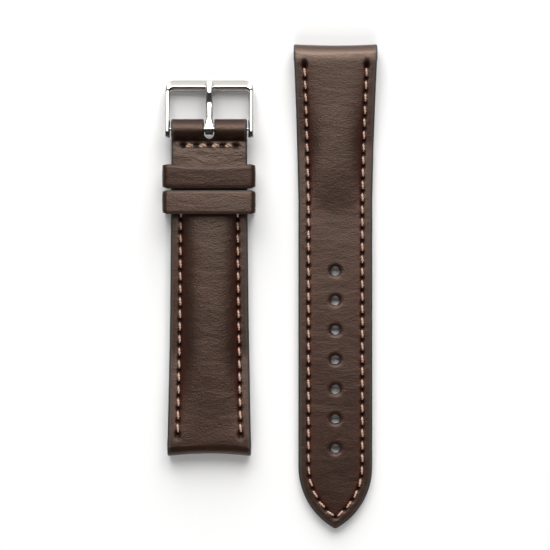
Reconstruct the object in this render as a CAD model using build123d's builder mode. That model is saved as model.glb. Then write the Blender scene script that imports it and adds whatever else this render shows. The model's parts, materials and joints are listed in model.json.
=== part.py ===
from build123d import *
from math import acos, asin, atan2, cos, degrees, hypot, pi, sin, sqrt, tan
import os
from typing import NamedTuple

os.makedirs("parts", exist_ok=True)

# A two-part leather watch strap lying flat: a short half with the buckle and
# two keepers on the left, a long half with the adjustment holes on the right.
# X runs across the straps, Y along them with the buckle towards +Y, Z is up.
# The origin is under the middle of the whole strap, on the table. All in mm.

# Leather
leather = 1.1  # upper, its turned-under ends and the lining alike
liner = 0.45  # reinforcement rolled up inside each end loop
butt_gap = 0.1  # between the lining and a turned-under end
turn_under = 8.0  # how far the upper is turned under behind a lug bore

# End loops
lug_width = 20.0
lug_bore_r = 0.9
lug_r = lug_bore_r + liner + leather
lug_flat = 0.8  # the loop's top stays level this far behind its axis
lug_camber = 0.02
step_camber = 0.04  # crown left where a padding step ends, so that each run goes on
crown_runs = 4  # straight runs from the middle of the crown to its side
hollow_runs = 3  # the same for the under side of the upper leather
lug_fall = 2.6  # the edge has come down to the sewn flange here
buckle_width = 18.1
fold_bore_r = 0.8
fold_r = fold_bore_r + liner + leather
lug_crown = 4.75  # padded height just behind a lug loop

# How each half narrows: its width beside the lug loop as a share of the lug
# width, then places as shares of its length with widths as the same shares
long_fall_share = 0.985
long_waist_shares = ((0.10345, 0.9475), (0.18966, 0.915))
short_fall_share = 0.9925
short_waist_shares = ((0.14512, 0.975), (0.42876, 0.9375), (0.7256, 0.9175))

# Padding and its sewn flange
flange = 2 * leather
seam_inset = 2.4
seam_room = 0.5
ramp_run = 1.0
ramp_share = 0.45  # part of the padding's height that its steep sides climb
keeper_crown = 3.4
keeper_crown_end = 67.7
padding_start = 1.0
padding_trim = 0.4  # the padding's thin front edge is pared off this far

# Long half
long_x = 15.625
long_length = 116.0
tail_width = 17.7
long_step_start = 32.5
long_step_end = 35.0
tip_arc_r = 17.0
tip_r = 1.0
hole_r = 1.1
hole_pitch = 7.1
hole_count = 7
first_hole_y = 3.7
long_stitches = 37  # along each side, the last one ending at the tip

# Short half
short_x = -14.575
short_lug_y = -38.15
bar_v = 75.8  # spring bar's distance from the lug bore, along the strap
return_end = 69.0  # the folded-back end of the upper reaches this far back
fold_flat_start = 70.9
short_stitches = 19
cross_v = 71.8
cross_pitch = 3.12
cross_stitches = 4
slot_width = 2.5
slot_reach = 2.2  # the tongue slot ends this far behind the bar's axis

# Saddle stitching
thread = 0.7
thread_rise = 0.45
thread_leg = 0.25
thread_dip = 0.1  # thickness left on top where one stitch meets the next
thread_run = 0.4
thread_low = 0.3
thread_floor = 0.02
awl_slit = 0.6  # length of the slit an awl leaves
thread_way = 0.8  # width of that slit, and of the groove pressed underneath
first_awl_v = 2.95
stitch_pitch = 3.01

# Keepers
keeper_leather = 1.0
keeper_skived = 0.6  # the fixed keeper's ends are pared to go under the upper
keeper_overhang = 2.0  # the keepers stand out this far beyond the buckle end of the strap
keeper_half = buckle_width / 2 + keeper_overhang
keeper_top = 7.1
keeper_sag = 0.5
keeper_corner = 1.1
fixed_keeper_v = (61.6, 67.4)
free_keeper_v = (55.5, 61.1)
keeper_under_gap = 0.3

# Spring bar
tube_r = 0.75
tube_bore_r = 0.55
tube_inset = 1.45  # the tube ends this far inside the strap
tube_half = buckle_width / 2 - tube_inset
cap = 0.3
fit = 0.05
piston_r = tube_bore_r - fit
piston_length = 1.25
piston_play = 0.1
neck_r = 0.4
frame_gap = 0.3  # between the strap and each arm of the buckle
pin_reach = 0.75  # how far a pin goes into its arm
pin_end_x = buckle_width / 2 + frame_gap + pin_reach
spring_turns = 5
spring_sides = 6  # straight runs of wire in one turn
wire_r = 0.1

# Buckle
frame_arm = 1.3
frame_inner = buckle_width / 2 + frame_gap
frame_outer = frame_inner + frame_arm
frame_front = 12.0
bar_depth = 2.4
frame_half_height = 1.3
frame_eye_r = 2.15
frame_corner = 2.4
frame_inner_corner = 0.7
frame_lip = 0.6  # height of the front bar's outer edge over its middle plane
ridge_depth = 0.5
frame_floor_gap = 0.12
pin_hole_depth = 0.9
notch_depth = 0.35
notch_room = 0.3  # to each side of the tongue
inner_bevel = 0.4
outer_bevel = 0.35
lip_bevel = 0.25
tongue_width = 1.8
tongue_bore_r = 0.83
tongue_eye_r = 1.4
tongue_gap = 0.15  # over the notch it drops into
tongue_tip = 11.85
tongue_top = 1.98
tongue_crown = (5.2, 1.95)
tongue_belly = (5.0, 0.85)
tongue_root = (1.1, -0.3)
tongue_tip_w = 1.25
tongue_bevel = 0.25

# Stitches that hold the free keeper's two ends together under the strap
keeper_stitch_half = 1.4
keeper_stitch_width = 0.6
keeper_stitch_v = (57.0, 59.6)

flange_inner = seam_inset + seam_room
keeper_rise = keeper_leather + keeper_under_gap
tilt = atan2(keeper_rise, free_keeper_v[0])


def bed_point(bed, u, v, w):
    """Return the point that lies u across, v along and w above a strap's bed."""
    return bed.origin + bed.x_dir * u + bed.y_dir * v + bed.z_dir * w


def across(bed, v):
    """Return the upright plane across a strap, v along it from its lug bore."""
    return Plane(bed_point(bed, 0, v, 0), x_dir=bed.x_dir, z_dir=-bed.y_dir)


def along(bed, u=0.0):
    """Return the upright plane along a strap, u to the side of its middle."""
    return Plane(bed_point(bed, u, 0, 0), x_dir=bed.y_dir, z_dir=bed.x_dir)


def level(bed, w):
    """Return the plane w above a strap's bed."""
    return bed.offset(w)


class Station(NamedTuple):
    """One cross-section of a strap: its place, width and two heights."""

    v: float
    width: float
    edge: float
    crown: float


def half_profile(s, depth, spread):
    """Return the top of a section from its edge to its middle, sunk by depth.

    The steep side and the arc over the padding keep one thickness of leather,
    so each corner moves along the mean of the two slopes that meet there.
    """
    foot_u = s.width / 2 - flange_inner
    top_u = foot_u - ramp_run
    top_w = s.edge + ramp_share * (s.crown - s.edge)
    steep = atan2(top_w - s.edge, ramp_run)
    shallow = 2 * atan2(s.crown - top_w, top_u)
    mean = (steep + shallow) / 2
    part = cos((steep - shallow) / 2)
    return [
        (s.width / 2 + spread, s.edge - depth),
        (foot_u - depth * tan(steep / 2), s.edge - depth),
        (top_u - depth * sin(mean) / part, top_w - depth * cos(mean) / part),
        (0, s.crown - depth),
    ]


def draw_rise(top, crown, runs):
    """Close a section's outline over its crown, in straight runs that keep faces few."""
    rise = crown[1] - top[1]
    if rise < 1e-6:
        Line((-top[0], top[1]), top)
    else:
        steps = [i / runs for i in range(-runs, runs + 1)]
        Polyline(*[(step * top[0], crown[1] - rise * step**2) for step in steps])


def draw_section(s, depth=0.0, spread=0.0, bottom=0.0):
    """Draw one closed section of a strap in the current sketch."""
    edge, foot, top, crown = half_profile(s, depth, spread)
    with BuildLine() as outline:
        Polyline(top, foot, edge, (edge[0], bottom), (-edge[0], bottom), (-edge[0], edge[1]),
                 (-foot[0], foot[1]), (-top[0], top[1]))
        draw_rise(top, crown, hollow_runs if depth else crown_runs)
    make_face(outline.edges())


def draw_crown(s, depth, bottom):
    """Draw one closed section of the padded middle alone in the current sketch."""
    foot, top, crown = half_profile(s, depth, 0)[1:]
    with BuildLine() as outline:
        Polyline(top, foot, (foot[0], bottom), (-foot[0], bottom), (-foot[0], foot[1]),
                 (-top[0], top[1]))
        draw_rise(top, crown, hollow_runs if depth else crown_runs)
    make_face(outline.edges())


def width_at(plan, v):
    """Return a strap's width between two places of its plan."""
    for (v0, width0), (v1, width1) in zip(plan, plan[1:]):
        if v <= v1:
            return width0 + (width1 - width0) * (v - v0) / (v1 - v0)
    return plan[-1][1]


def side_points(plan, start, end, sign):
    """Return one side of a strap's plan between two places along it."""
    inner = [v for v, width in plan if start < v < end]
    return [(sign * width_at(plan, v) / 2, v) for v in [start, *inner, end]]


def draw_plan(plan, start, end):
    """Draw the plan of a stretch of a strap in the current sketch."""
    right = side_points(plan, start, end, 1)
    left = side_points(plan, start, end, -1)
    with BuildLine() as outline:
        Polyline(*right, *reversed(left), close=True)
    make_face(outline.edges())


# Beds: each strap's own plane, with its first axis across it, its second along
# it from the lug bore, and its third up. The short one rises on the keeper.
long_bed = Plane((long_x, long_length / 2 - lug_r, 0), x_dir=(-1, 0, 0), z_dir=(0, 0, 1))
short_up = Vector(0, -sin(tilt), cos(tilt))
short_lug = Vector(short_x, short_lug_y, lug_r)
short_bed = Plane(short_lug - short_up * lug_r, x_dir=(1, 0, 0), z_dir=short_up)
bar_axis = bed_point(short_bed, 0, bar_v, fold_r)

# Widths of both plans at places along them
long_plan = [(0.0, lug_width), (lug_flat, lug_width), (lug_fall, long_fall_share * lug_width),
             *((v * long_length, width * lug_width) for v, width in long_waist_shares),
             (long_step_end, tail_width)]
short_plan = [(0.0, lug_width), (lug_flat, lug_width), (lug_fall, short_fall_share * lug_width),
              *((v * bar_v, width * lug_width) for v, width in short_waist_shares),
              (fold_flat_start, buckle_width)]

# The padding's height at places along it, and where it has run out
long_crowns = [(lug_fall, lug_crown), (long_step_start, keeper_crown),
               (long_step_end, flange + step_camber)]
short_crowns = [(lug_fall, lug_crown), (free_keeper_v[0], keeper_crown),
                (keeper_crown_end, keeper_crown), (fold_flat_start, flange + step_camber)]


def tip_geometry():
    """Return where the tip's arcs start, and how far off the middle they turn."""
    offset = tip_arc_r - tail_width / 2
    reach = sqrt((tip_arc_r - tip_r) ** 2 - offset**2) + tip_r
    return long_length - lug_r - reach, offset


tip_start_v, tip_offset = tip_geometry()


def draw_tail(start):
    """Draw the plan of the long half from a given place to its pointed tip."""
    half = tail_width / 2
    side = [(p[0], p[1]) for p in side_points(long_plan, start, tip_start_v, 1)]
    nose_v = long_length - lug_r - tip_r
    lean = atan2(nose_v - tip_start_v, tip_offset)
    touch = (tip_r * cos(lean), nose_v + tip_r * sin(lean))
    bend = lean / 2
    mid = (tip_arc_r * cos(bend) - tip_offset, tip_start_v + tip_arc_r * sin(bend))
    with BuildLine() as outline:
        Polyline((-half, tip_start_v), *[(-u, v) for u, v in reversed(side)][1:], *side)
        ThreePointArc((half, tip_start_v), mid, touch)
        ThreePointArc(touch, (0, nose_v + tip_r), (-touch[0], touch[1]))
        ThreePointArc((-touch[0], touch[1]), (-mid[0], mid[1]), (-half, tip_start_v))
    make_face(outline.edges())


def straight_awls(plan, sign, first, pitch, count):
    """Return the awl holes of a side seam, at one inset from the strap's edge."""
    places = [first + pitch * i for i in range(count + 1)]
    return [(sign * (width_at(plan, v) / 2 - seam_inset), v) for v in places]


def long_awls():
    """Return the awl holes of the seam that runs round the long half's tip."""
    turn_r = tip_arc_r - seam_inset
    straight = tip_start_v - first_awl_v
    apex = atan2(sqrt(turn_r**2 - tip_offset**2), tip_offset)
    pitch = (straight + turn_r * apex) / long_stitches
    side = []
    for i in range(long_stitches + 1):
        way = pitch * i
        if way <= straight:
            v = first_awl_v + way
            side.append((width_at(long_plan, v) / 2 - seam_inset, v))
        else:
            turn = (way - straight) / turn_r
            side.append((turn_r * cos(turn) - tip_offset, tip_start_v + turn_r * sin(turn)))
    side[-1] = (0.0, side[-1][1])
    return side + [(-u, v) for u, v in reversed(side[:-1])]


def goes_through(awls, i):
    """Say whether the thread is led through at an awl hole, as at every fourth one."""
    return i % 4 == 0 or i == len(awls) - 1


def sew(bed, awls):
    """Draw and extrude the stitches between awl holes, with legs where they go through."""
    stitches = []
    for i, ((u0, v0), (u1, v1)) in enumerate(zip(awls, awls[1:])):
        way = bed.x_dir * (u1 - u0) + bed.y_dir * (v1 - v0)
        span = hypot(u1 - u0, v1 - v0)
        plane = Plane(bed_point(bed, u0, v0, 0), x_dir=way, z_dir=way.cross(bed.z_dir))
        top = flange + thread_rise
        start = thread_leg if goes_through(awls, i) else 0
        end = span - (thread_leg if goes_through(awls, i + 1) else 0)
        with BuildSketch(plane) as stitch:
            with BuildLine():
                Polyline((0, thread_floor), (span, thread_floor), (span, flange + thread_dip),
                         (span - thread_run, top), (thread_run, top), (0, flange + thread_dip),
                         close=True)
            make_face()
            with BuildLine():
                Polyline((start, thread_low), (end, thread_low), (end, flange),
                         (start, flange), close=True)
            make_face(mode=Mode.SUBTRACT)
        stitches.extend(stitch.sketch.faces())
    extrude(stitches, amount=thread / 2, both=True)


def draw_slits(awls):
    """Draw the slits an awl leaves, each along its seam, in the current sketch."""
    for i, place in enumerate(awls):
        if goes_through(awls, i):
            (u0, v0), (u1, v1) = awls[max(i - 1, 0)], awls[min(i + 1, len(awls) - 1)]
            with Locations(place):
                Rectangle(awl_slit, thread_way, rotation=degrees(atan2(v1 - v0, u1 - u0)))


def draw_groove(awls):
    """Draw the groove that a seam presses underneath, in the current sketch."""
    for (u0, v0), (u1, v1) in zip(awls, awls[1:]):
        with Locations(((u0 + u1) / 2, (v0 + v1) / 2)):
            Rectangle(hypot(u1 - u0, v1 - v0), thread_way,
                      rotation=degrees(atan2(v1 - v0, u1 - u0)))


# Threads: one waxed thread per seam, lying on the leather between its awl
# holes and running on underneath in a pressed groove.
long_row = long_awls()
left_row = straight_awls(short_plan, -1, first_awl_v, stitch_pitch, short_stitches)
right_row = straight_awls(short_plan, 1, first_awl_v, stitch_pitch, short_stitches)
cross_row = [((i - cross_stitches / 2) * cross_pitch, cross_v)
             for i in range(cross_stitches + 1)]

with BuildPart() as long_seam:
    sew(long_bed, long_row)

with BuildPart() as short_seam_left:
    sew(short_bed, left_row)

with BuildPart() as short_seam_right:
    sew(short_bed, right_row)

with BuildPart() as short_cross_seam:
    sew(short_bed, cross_row)


def shoulder(bed, plan, depth=0.0, spread=0.0, bottom=leather):
    """Build what lies behind a lug loop: level at first, then falling to the flange.

    A depth sinks it to the under side of the upper leather.
    """
    start = Station(lug_flat, lug_width, 2 * lug_r - lug_camber, 2 * lug_r)
    end = Station(lug_fall, width_at(plan, lug_fall), flange, lug_crown)
    sections = []
    for s in (start, end):
        with BuildSketch(across(bed, s.v)) as section:
            draw_section(s, depth, spread, bottom)
        sections.append(section.sketch)
    loft(sections, ruled=True)
    with BuildSketch(across(bed, lug_flat)) as flat:
        draw_section(start, depth, spread, bottom)
    extrude(flat.sketch, amount=lug_flat)


def padded_middle(bed, plan, crowns, depth=0.0, bottom=leather):
    """Loft the crowned middle of a strap through its heights, or its under side."""
    sections = []
    for v, crown in crowns:
        with BuildSketch(across(bed, v)) as section:
            draw_crown(Station(v, width_at(plan, v), flange, crown), depth, bottom)
        sections.append(section.sketch)
    loft(sections, ruled=True)


def roll(bed, v, w, outer, inner, width, from_v=None):
    """Extrude a rolled leather end: a ring round a bore, or its front half."""
    with BuildSketch(along(bed, -width / 2)) as ring:
        with Locations((v, w)):
            Circle(outer)
            Circle(inner, mode=Mode.SUBTRACT)
        if from_v is not None:
            with Locations((from_v + outer, w)):
                Rectangle(2 * outer, 3 * outer, mode=Mode.SUBTRACT)
    extrude(ring.sketch, amount=width)


def cut_band(bed, v0, v1, w0, w1, width, mode=Mode.SUBTRACT):
    """Take a straight band away across a strap, or add it."""
    with BuildSketch(level(bed, w0)) as band:
        with Locations((0, (v0 + v1) / 2)):
            Rectangle(width, v1 - v0)
    extrude(band.sketch, amount=w1 - w0, mode=mode)


wide = 2 * lug_width

# What lies under the upper leather of both halves, down to below the lining's top
with BuildPart() as long_hollow:
    shoulder(long_bed, long_plan, leather, butt_gap, 0.0)
    padded_middle(long_bed, long_plan, long_crowns, leather, 0.0)

with BuildPart() as short_hollow:
    shoulder(short_bed, short_plan, leather, butt_gap, 0.0)
    padded_middle(short_bed, short_plan, short_crowns, leather, 0.0)

# Long half: upper leather, rolled round the lug bore and flat over the tail
with BuildPart() as long_upper:
    shoulder(long_bed, long_plan)
    padded_middle(long_bed, long_plan, long_crowns)
    with BuildSketch(level(long_bed, leather)):
        draw_tail(lug_fall)
    extrude(amount=leather)
    add(long_hollow.part, mode=Mode.SUBTRACT)
    with BuildSketch(long_bed):
        draw_plan(long_plan, 0, turn_under)
    extrude(amount=leather)
    roll(long_bed, 0, lug_r, lug_r, lug_r - leather, lug_width, 0.0)
    with BuildSketch(Plane.XY):
        with Locations(*[(long_x, first_hole_y - hole_pitch * i) for i in range(hole_count)]):
            Circle(hole_r)
    extrude(amount=flange * 2, mode=Mode.SUBTRACT)
    with BuildSketch(long_bed):
        draw_slits(long_row)
    extrude(amount=flange, mode=Mode.SUBTRACT)
    with BuildSketch(long_bed):
        draw_groove(long_row)
    extrude(amount=thread_low, mode=Mode.SUBTRACT)
long_upper.part.label = "long_upper"

# Long half: padding between the seams
with BuildPart() as long_padding:
    add(long_hollow.part)
    with BuildSketch(long_bed):
        draw_plan(long_plan, 0, long_step_end)
    extrude(amount=2 * lug_r, mode=Mode.INTERSECT)
    cut_band(long_bed, -turn_under, long_length, -2 * leather, leather, wide)
    cut_band(long_bed, -turn_under, padding_start, 0, 3 * lug_r, wide)
    cut_band(long_bed, long_step_end - padding_trim, long_length, 0, 3 * lug_r, wide)
    with BuildSketch(along(long_bed, -lug_width)):
        with Locations((0, lug_r)):
            Circle(lug_r - leather)
    extrude(amount=wide, mode=Mode.SUBTRACT)
long_padding.part.label = "long_padding"

# Long half: lining
with BuildPart() as long_lining:
    with BuildSketch(long_bed):
        draw_tail(turn_under + butt_gap)
    extrude(amount=leather)
    with BuildSketch(Plane.XY):
        with Locations(*[(long_x, first_hole_y - hole_pitch * i) for i in range(hole_count)]):
            Circle(hole_r)
    extrude(amount=flange * 2, mode=Mode.SUBTRACT)
    with BuildSketch(long_bed):
        draw_slits(long_row)
    extrude(amount=flange, mode=Mode.SUBTRACT)
    with BuildSketch(long_bed):
        draw_groove(long_row)
    extrude(amount=thread_low, mode=Mode.SUBTRACT)
long_lining.part.label = "long_lining"

with BuildPart() as long_lug_liner:
    roll(long_bed, 0, lug_r, lug_r - leather, lug_bore_r, lug_width)
long_lug_liner.part.label = "long_lug_liner"

# Short half: upper leather, rolled round the lug bore at one end and round the
# spring bar at the other, where it is folded back and sewn down
with BuildPart() as short_upper:
    shoulder(short_bed, short_plan)
    padded_middle(short_bed, short_plan, short_crowns)
    with BuildSketch(level(short_bed, leather)):
        draw_plan(short_plan, lug_fall, fold_flat_start)
    extrude(amount=leather)
    add(short_hollow.part, mode=Mode.SUBTRACT)
    with BuildSketch(short_bed):
        draw_plan(short_plan, 0, turn_under)
    extrude(amount=leather)
    roll(short_bed, 0, lug_r, lug_r, lug_r - leather, lug_width, 0.0)
    cut_band(short_bed, return_end, bar_v, 0, leather, buckle_width, Mode.ADD)
    cut_band(short_bed, fold_flat_start, bar_v, leather, flange, buckle_width, Mode.ADD)
    with BuildSketch(along(short_bed, -buckle_width / 2)):
        with Locations((bar_v, fold_r)):
            Circle(fold_r)
    extrude(amount=buckle_width)
    with BuildSketch(along(short_bed, -lug_width)):
        with Locations((bar_v, fold_r)):
            Circle(fold_r - leather)
    extrude(amount=wide, mode=Mode.SUBTRACT)
    with BuildSketch(level(short_bed, -leather)):
        with Locations((0, bar_v + fold_r)):
            Rectangle(slot_width, 2 * (fold_r + slot_reach - slot_width / 2))
        with Locations((0, bar_v - slot_reach + slot_width / 2)):
            Circle(slot_width / 2)
    extrude(amount=4 * fold_r, mode=Mode.SUBTRACT)
    cut_band(short_bed, *fixed_keeper_v, leather, leather + keeper_skived, wide)
    with BuildSketch(short_bed):
        for row in (left_row, right_row, cross_row):
            draw_slits(row)
    extrude(amount=flange, mode=Mode.SUBTRACT)
    with BuildSketch(short_bed):
        for row in (left_row, right_row, cross_row):
            draw_groove(row)
    extrude(amount=thread_low, mode=Mode.SUBTRACT)
short_upper.part.label = "short_upper"

with BuildPart() as short_padding:
    add(short_hollow.part)
    with BuildSketch(short_bed):
        draw_plan(short_plan, 0, fold_flat_start)
    extrude(amount=2 * lug_r, mode=Mode.INTERSECT)
    cut_band(short_bed, -turn_under, long_length, -2 * leather, leather, wide)
    cut_band(short_bed, -turn_under, padding_start, 0, 3 * lug_r, wide)
    cut_band(short_bed, fold_flat_start - padding_trim, long_length, 0, 3 * lug_r, wide)
    with BuildSketch(along(short_bed, -lug_width)):
        with Locations((0, lug_r)):
            Circle(lug_r - leather)
    extrude(amount=wide, mode=Mode.SUBTRACT)
    cut_band(short_bed, *fixed_keeper_v, leather, leather + keeper_skived, wide)
short_padding.part.label = "short_padding"

with BuildPart() as short_lining:
    with BuildSketch(short_bed):
        draw_plan(short_plan, turn_under + butt_gap, return_end - butt_gap)
    extrude(amount=leather)
    with BuildSketch(short_bed):
        draw_slits(left_row)
        draw_slits(right_row)
    extrude(amount=leather, mode=Mode.SUBTRACT)
    with BuildSketch(short_bed):
        draw_groove(left_row)
        draw_groove(right_row)
    extrude(amount=thread_low, mode=Mode.SUBTRACT)
short_lining.part.label = "short_lining"

with BuildPart() as short_lug_liner:
    roll(short_bed, 0, lug_r, lug_r - leather, lug_bore_r, lug_width)
short_lug_liner.part.label = "short_lug_liner"

with BuildPart() as short_fold_liner:
    roll(short_bed, bar_v, fold_r, fold_r - leather, fold_bore_r, buckle_width)
    with BuildSketch(along(short_bed, -slot_width / 2)):
        with Locations((bar_v, fold_r)):
            Circle(fold_r)
    extrude(amount=slot_width, mode=Mode.SUBTRACT)
short_fold_liner.part.label = "short_fold_liner"


# Keepers
def draw_keeper_loop(bottom, inner_bottom):
    """Draw a keeper's section: arched over the top, flat underneath."""
    side = keeper_half
    shoulder = keeper_top - keeper_sag
    inner = side - keeper_leather
    with BuildLine() as outer_line:
        Polyline((side, shoulder), (side, bottom), (-side, bottom), (-side, shoulder))
        ThreePointArc((-side, shoulder), (0, keeper_top), (side, shoulder))
    make_face(outer_line.edges())
    with BuildLine() as inner_line:
        Polyline((inner, shoulder - keeper_leather), (inner, inner_bottom),
                 (-inner, inner_bottom), (-inner, shoulder - keeper_leather))
        ThreePointArc((-inner, shoulder - keeper_leather), (0, keeper_top - keeper_leather),
                      (inner, shoulder - keeper_leather))
    make_face(inner_line.edges(), mode=Mode.SUBTRACT)


def keeper_shoulders(keeper):
    """Return a keeper's two outer top corners."""
    corner = hypot(keeper_half, keeper_top - keeper_sag)
    edges = []
    for edge in keeper.edges().filter_by(Axis((0, 0, 0), short_bed.y_dir)):
        place = short_bed.to_local_coords(edge.center())
        if abs(hypot(place.X, place.Z) - corner) < fit:
            edges.append(edge)
    return edges


with BuildPart() as fixed_keeper:
    with BuildSketch(across(short_bed, fixed_keeper_v[1])):
        draw_keeper_loop(leather, leather + keeper_skived)
    extrude(amount=fixed_keeper_v[1] - fixed_keeper_v[0])
    fillet(keeper_shoulders(fixed_keeper), keeper_corner)
fixed_keeper.part.label = "fixed_keeper"

with BuildPart() as free_keeper_stitch:
    for v in keeper_stitch_v:
        with BuildSketch(across(short_bed, v + keeper_stitch_width / 2)):
            with Locations((0, -keeper_rise + keeper_leather / 2)):
                Rectangle(2 * keeper_stitch_half, keeper_leather - 2 * thread_floor)
                Rectangle(2 * (keeper_stitch_half - 2 * thread_leg), keeper_leather - 2 * thread_low,
                          mode=Mode.SUBTRACT)
    extrude(amount=keeper_stitch_width)
free_keeper_stitch.part.label = "free_keeper_stitch"

with BuildPart() as free_keeper:
    with BuildSketch(across(short_bed, free_keeper_v[1])):
        draw_keeper_loop(-keeper_rise, -keeper_under_gap)
        with Locations((0, -keeper_rise + keeper_leather / 2)):
            Rectangle(butt_gap, 2 * keeper_leather, mode=Mode.SUBTRACT)
    extrude(amount=free_keeper_v[1] - free_keeper_v[0])
    fillet(keeper_shoulders(free_keeper), keeper_corner)
    add(free_keeper_stitch.part, mode=Mode.SUBTRACT)
free_keeper.part.label = "free_keeper"

# Spring bar: a tube with a sprung pin in each end
bar_plane = Plane(bar_axis, x_dir=(0, 1, 0), z_dir=(1, 0, 0))

with BuildPart() as spring_bar_tube:
    with BuildSketch(bar_plane.offset(-tube_half)):
        Circle(tube_r)
        Circle(neck_r + fit, mode=Mode.SUBTRACT)
    extrude(amount=2 * tube_half)
    with BuildSketch(bar_plane.offset(cap - tube_half)):
        Circle(tube_bore_r)
    extrude(amount=2 * (tube_half - cap), mode=Mode.SUBTRACT)
spring_bar_tube.part.label = "spring_bar_tube"

piston_x = tube_half - cap - piston_play


def turned_pin(side):
    """Revolve one pin of the spring bar, pointing to the given side."""
    steps = [
        (0, piston_x - piston_length), (piston_r, piston_x - piston_length), (piston_r, piston_x),
        (neck_r, piston_x), (neck_r, pin_end_x), (0, pin_end_x),
    ]
    with BuildSketch(Plane(bar_axis, x_dir=(0, 1, 0), z_dir=(0, 0, -side))) as half:
        with BuildLine():
            Polyline(*steps, close=True)
        make_face()
    revolve(half.sketch, axis=Axis(bar_axis, (1, 0, 0)))


with BuildPart() as spring_bar_plunger_left:
    turned_pin(-1)
spring_bar_plunger_left.part.label = "spring_bar_plunger_left"

with BuildPart() as spring_bar_plunger_right:
    turned_pin(1)
spring_bar_plunger_right.part.label = "spring_bar_plunger_right"

spring_half = piston_x - piston_length - wire_r - fit
spring_r = tube_bore_r - fit - wire_r
spring_steps = spring_turns * spring_sides
with BuildPart() as spring_bar_spring:
    coil = []
    for i in range(spring_steps + 1):
        turn = 2 * pi * i / spring_sides
        outward = Vector(0, cos(turn), sin(turn))
        middle = Vector(spring_half * (2 * i / spring_steps - 1), 0, 0) + outward * spring_r
        onward = Vector(0, -sin(turn), cos(turn))
        with BuildSketch(Plane(bar_axis + middle, x_dir=outward, z_dir=onward)) as wire:
            Rectangle(2 * wire_r, 2 * wire_r)
        coil.append(wire.sketch)
    loft(coil, ruled=True)
spring_bar_spring.part.label = "spring_bar_spring"


# Buckle: the frame dips towards its front bar, which stays just off the table
front_reach = hypot(frame_front, frame_half_height)
dip = asin((bar_axis.Z - frame_floor_gap) / front_reach) - atan2(frame_half_height, frame_front)
frame_bed = Plane(bar_axis, x_dir=(1, 0, 0), z_dir=(0, sin(dip), cos(dip)))
bar_back = frame_front - bar_depth
ridge = bar_back + ridge_depth


def tangent_point(r, x, y):
    """Return where a line from an outside point touches a circle round the origin."""
    turn = atan2(y, x) + acos(r / hypot(x, y))
    return r * cos(turn), r * sin(turn)


def frame_edges(frame, wanted):
    """Return the frame's edges whose middles, in the frame's own plane, are wanted."""
    edges = []
    for edge in frame.edges():
        place = frame_bed.to_local_coords(edge.center())
        if wanted(abs(place.X), place.Y, place.Z):
            edges.append(edge)
    return edges


def is_inner_rim(x, y, z):
    """Tell whether an edge lies round the top of the frame's window."""
    on_bar = x < fit and abs(y - bar_back) < fit
    on_arm = abs(x - frame_inner) < frame_inner_corner / 2 and y > frame_eye_r
    return z > frame_lip and (on_bar or on_arm)


def is_outer_arm(x, y, z):
    """Tell whether an edge runs along the outside of an arm."""
    return abs(x - frame_outer) < fit and abs(z) > frame_lip and frame_lip < y < bar_back - fit


with BuildPart() as buckle_frame:
    with BuildSketch(level(frame_bed, -frame_eye_r)):
        with Locations((0, frame_front / 2 - 2 * frame_eye_r)):
            RectangleRounded(2 * frame_outer, frame_front + 4 * frame_eye_r, frame_corner)
        with Locations((0, bar_back / 2 - 2 * frame_eye_r)):
            RectangleRounded(2 * frame_inner, bar_back + 4 * frame_eye_r, frame_inner_corner,
                             mode=Mode.SUBTRACT)
    extrude(amount=2 * frame_eye_r)
    arm_x, arm_z = tangent_point(frame_eye_r, ridge, frame_half_height)
    with BuildSketch(along(frame_bed, -frame_outer)):
        Circle(frame_eye_r)
        with BuildLine():
            Polyline((arm_x, arm_z), (ridge, frame_half_height),
                     (frame_front - lip_bevel, frame_lip + lip_bevel / 2),
                     (frame_front, frame_lip - lip_bevel / 2), (frame_front, -frame_half_height),
                     (ridge, -frame_half_height), (arm_x, -arm_z), (0, 0), close=True)
        make_face()
    extrude(amount=2 * frame_outer, mode=Mode.INTERSECT)
    chamfer(frame_edges(buckle_frame, is_inner_rim), inner_bevel)
    chamfer(frame_edges(buckle_frame, is_outer_arm), outer_bevel)
    with BuildSketch(along(frame_bed, -frame_inner - pin_hole_depth)):
        Circle(neck_r + fit)
    extrude(amount=2 * (frame_inner + pin_hole_depth), mode=Mode.SUBTRACT)
    with BuildSketch(level(frame_bed, frame_half_height - notch_depth)):
        with Locations((0, bar_back + bar_depth / 2)):
            Rectangle(tongue_width + 2 * notch_room, 2 * bar_depth)
    extrude(amount=2 * notch_depth, mode=Mode.SUBTRACT)
buckle_frame.part.label = "buckle_frame"


def is_tongue_back(x, y, z):
    """Tell whether an edge runs along the top of the tongue."""
    return x > fit and z > tongue_eye_r


with BuildPart() as buckle_tongue:
    rest = frame_half_height - notch_depth + tongue_gap
    with BuildSketch(along(frame_bed, -tongue_width / 2)):
        Circle(tongue_eye_r)
        with BuildLine():
            ThreePointArc((0, tongue_eye_r), tongue_crown, (ridge, tongue_top))
            ThreePointArc((ridge, tongue_top), (tongue_tip - lip_bevel, tongue_tip_w + notch_depth),
                          (tongue_tip, tongue_tip_w))
            Polyline((tongue_tip, tongue_tip_w), (tongue_tip - lip_bevel, rest), (ridge, rest))
            ThreePointArc((ridge, rest), tongue_belly, tongue_root)
            Polyline(tongue_root, (0, 0), (0, tongue_eye_r))
        make_face()
        Circle(tongue_bore_r, mode=Mode.SUBTRACT)
    extrude(amount=tongue_width)
    chamfer(frame_edges(buckle_tongue, is_tongue_back), tongue_bevel)
buckle_tongue.part.label = "buckle_tongue"

long_seam.part.label = "long_seam"
short_seam_left.part.label = "short_seam_left"
short_seam_right.part.label = "short_seam_right"
short_cross_seam.part.label = "short_cross_seam"

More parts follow.
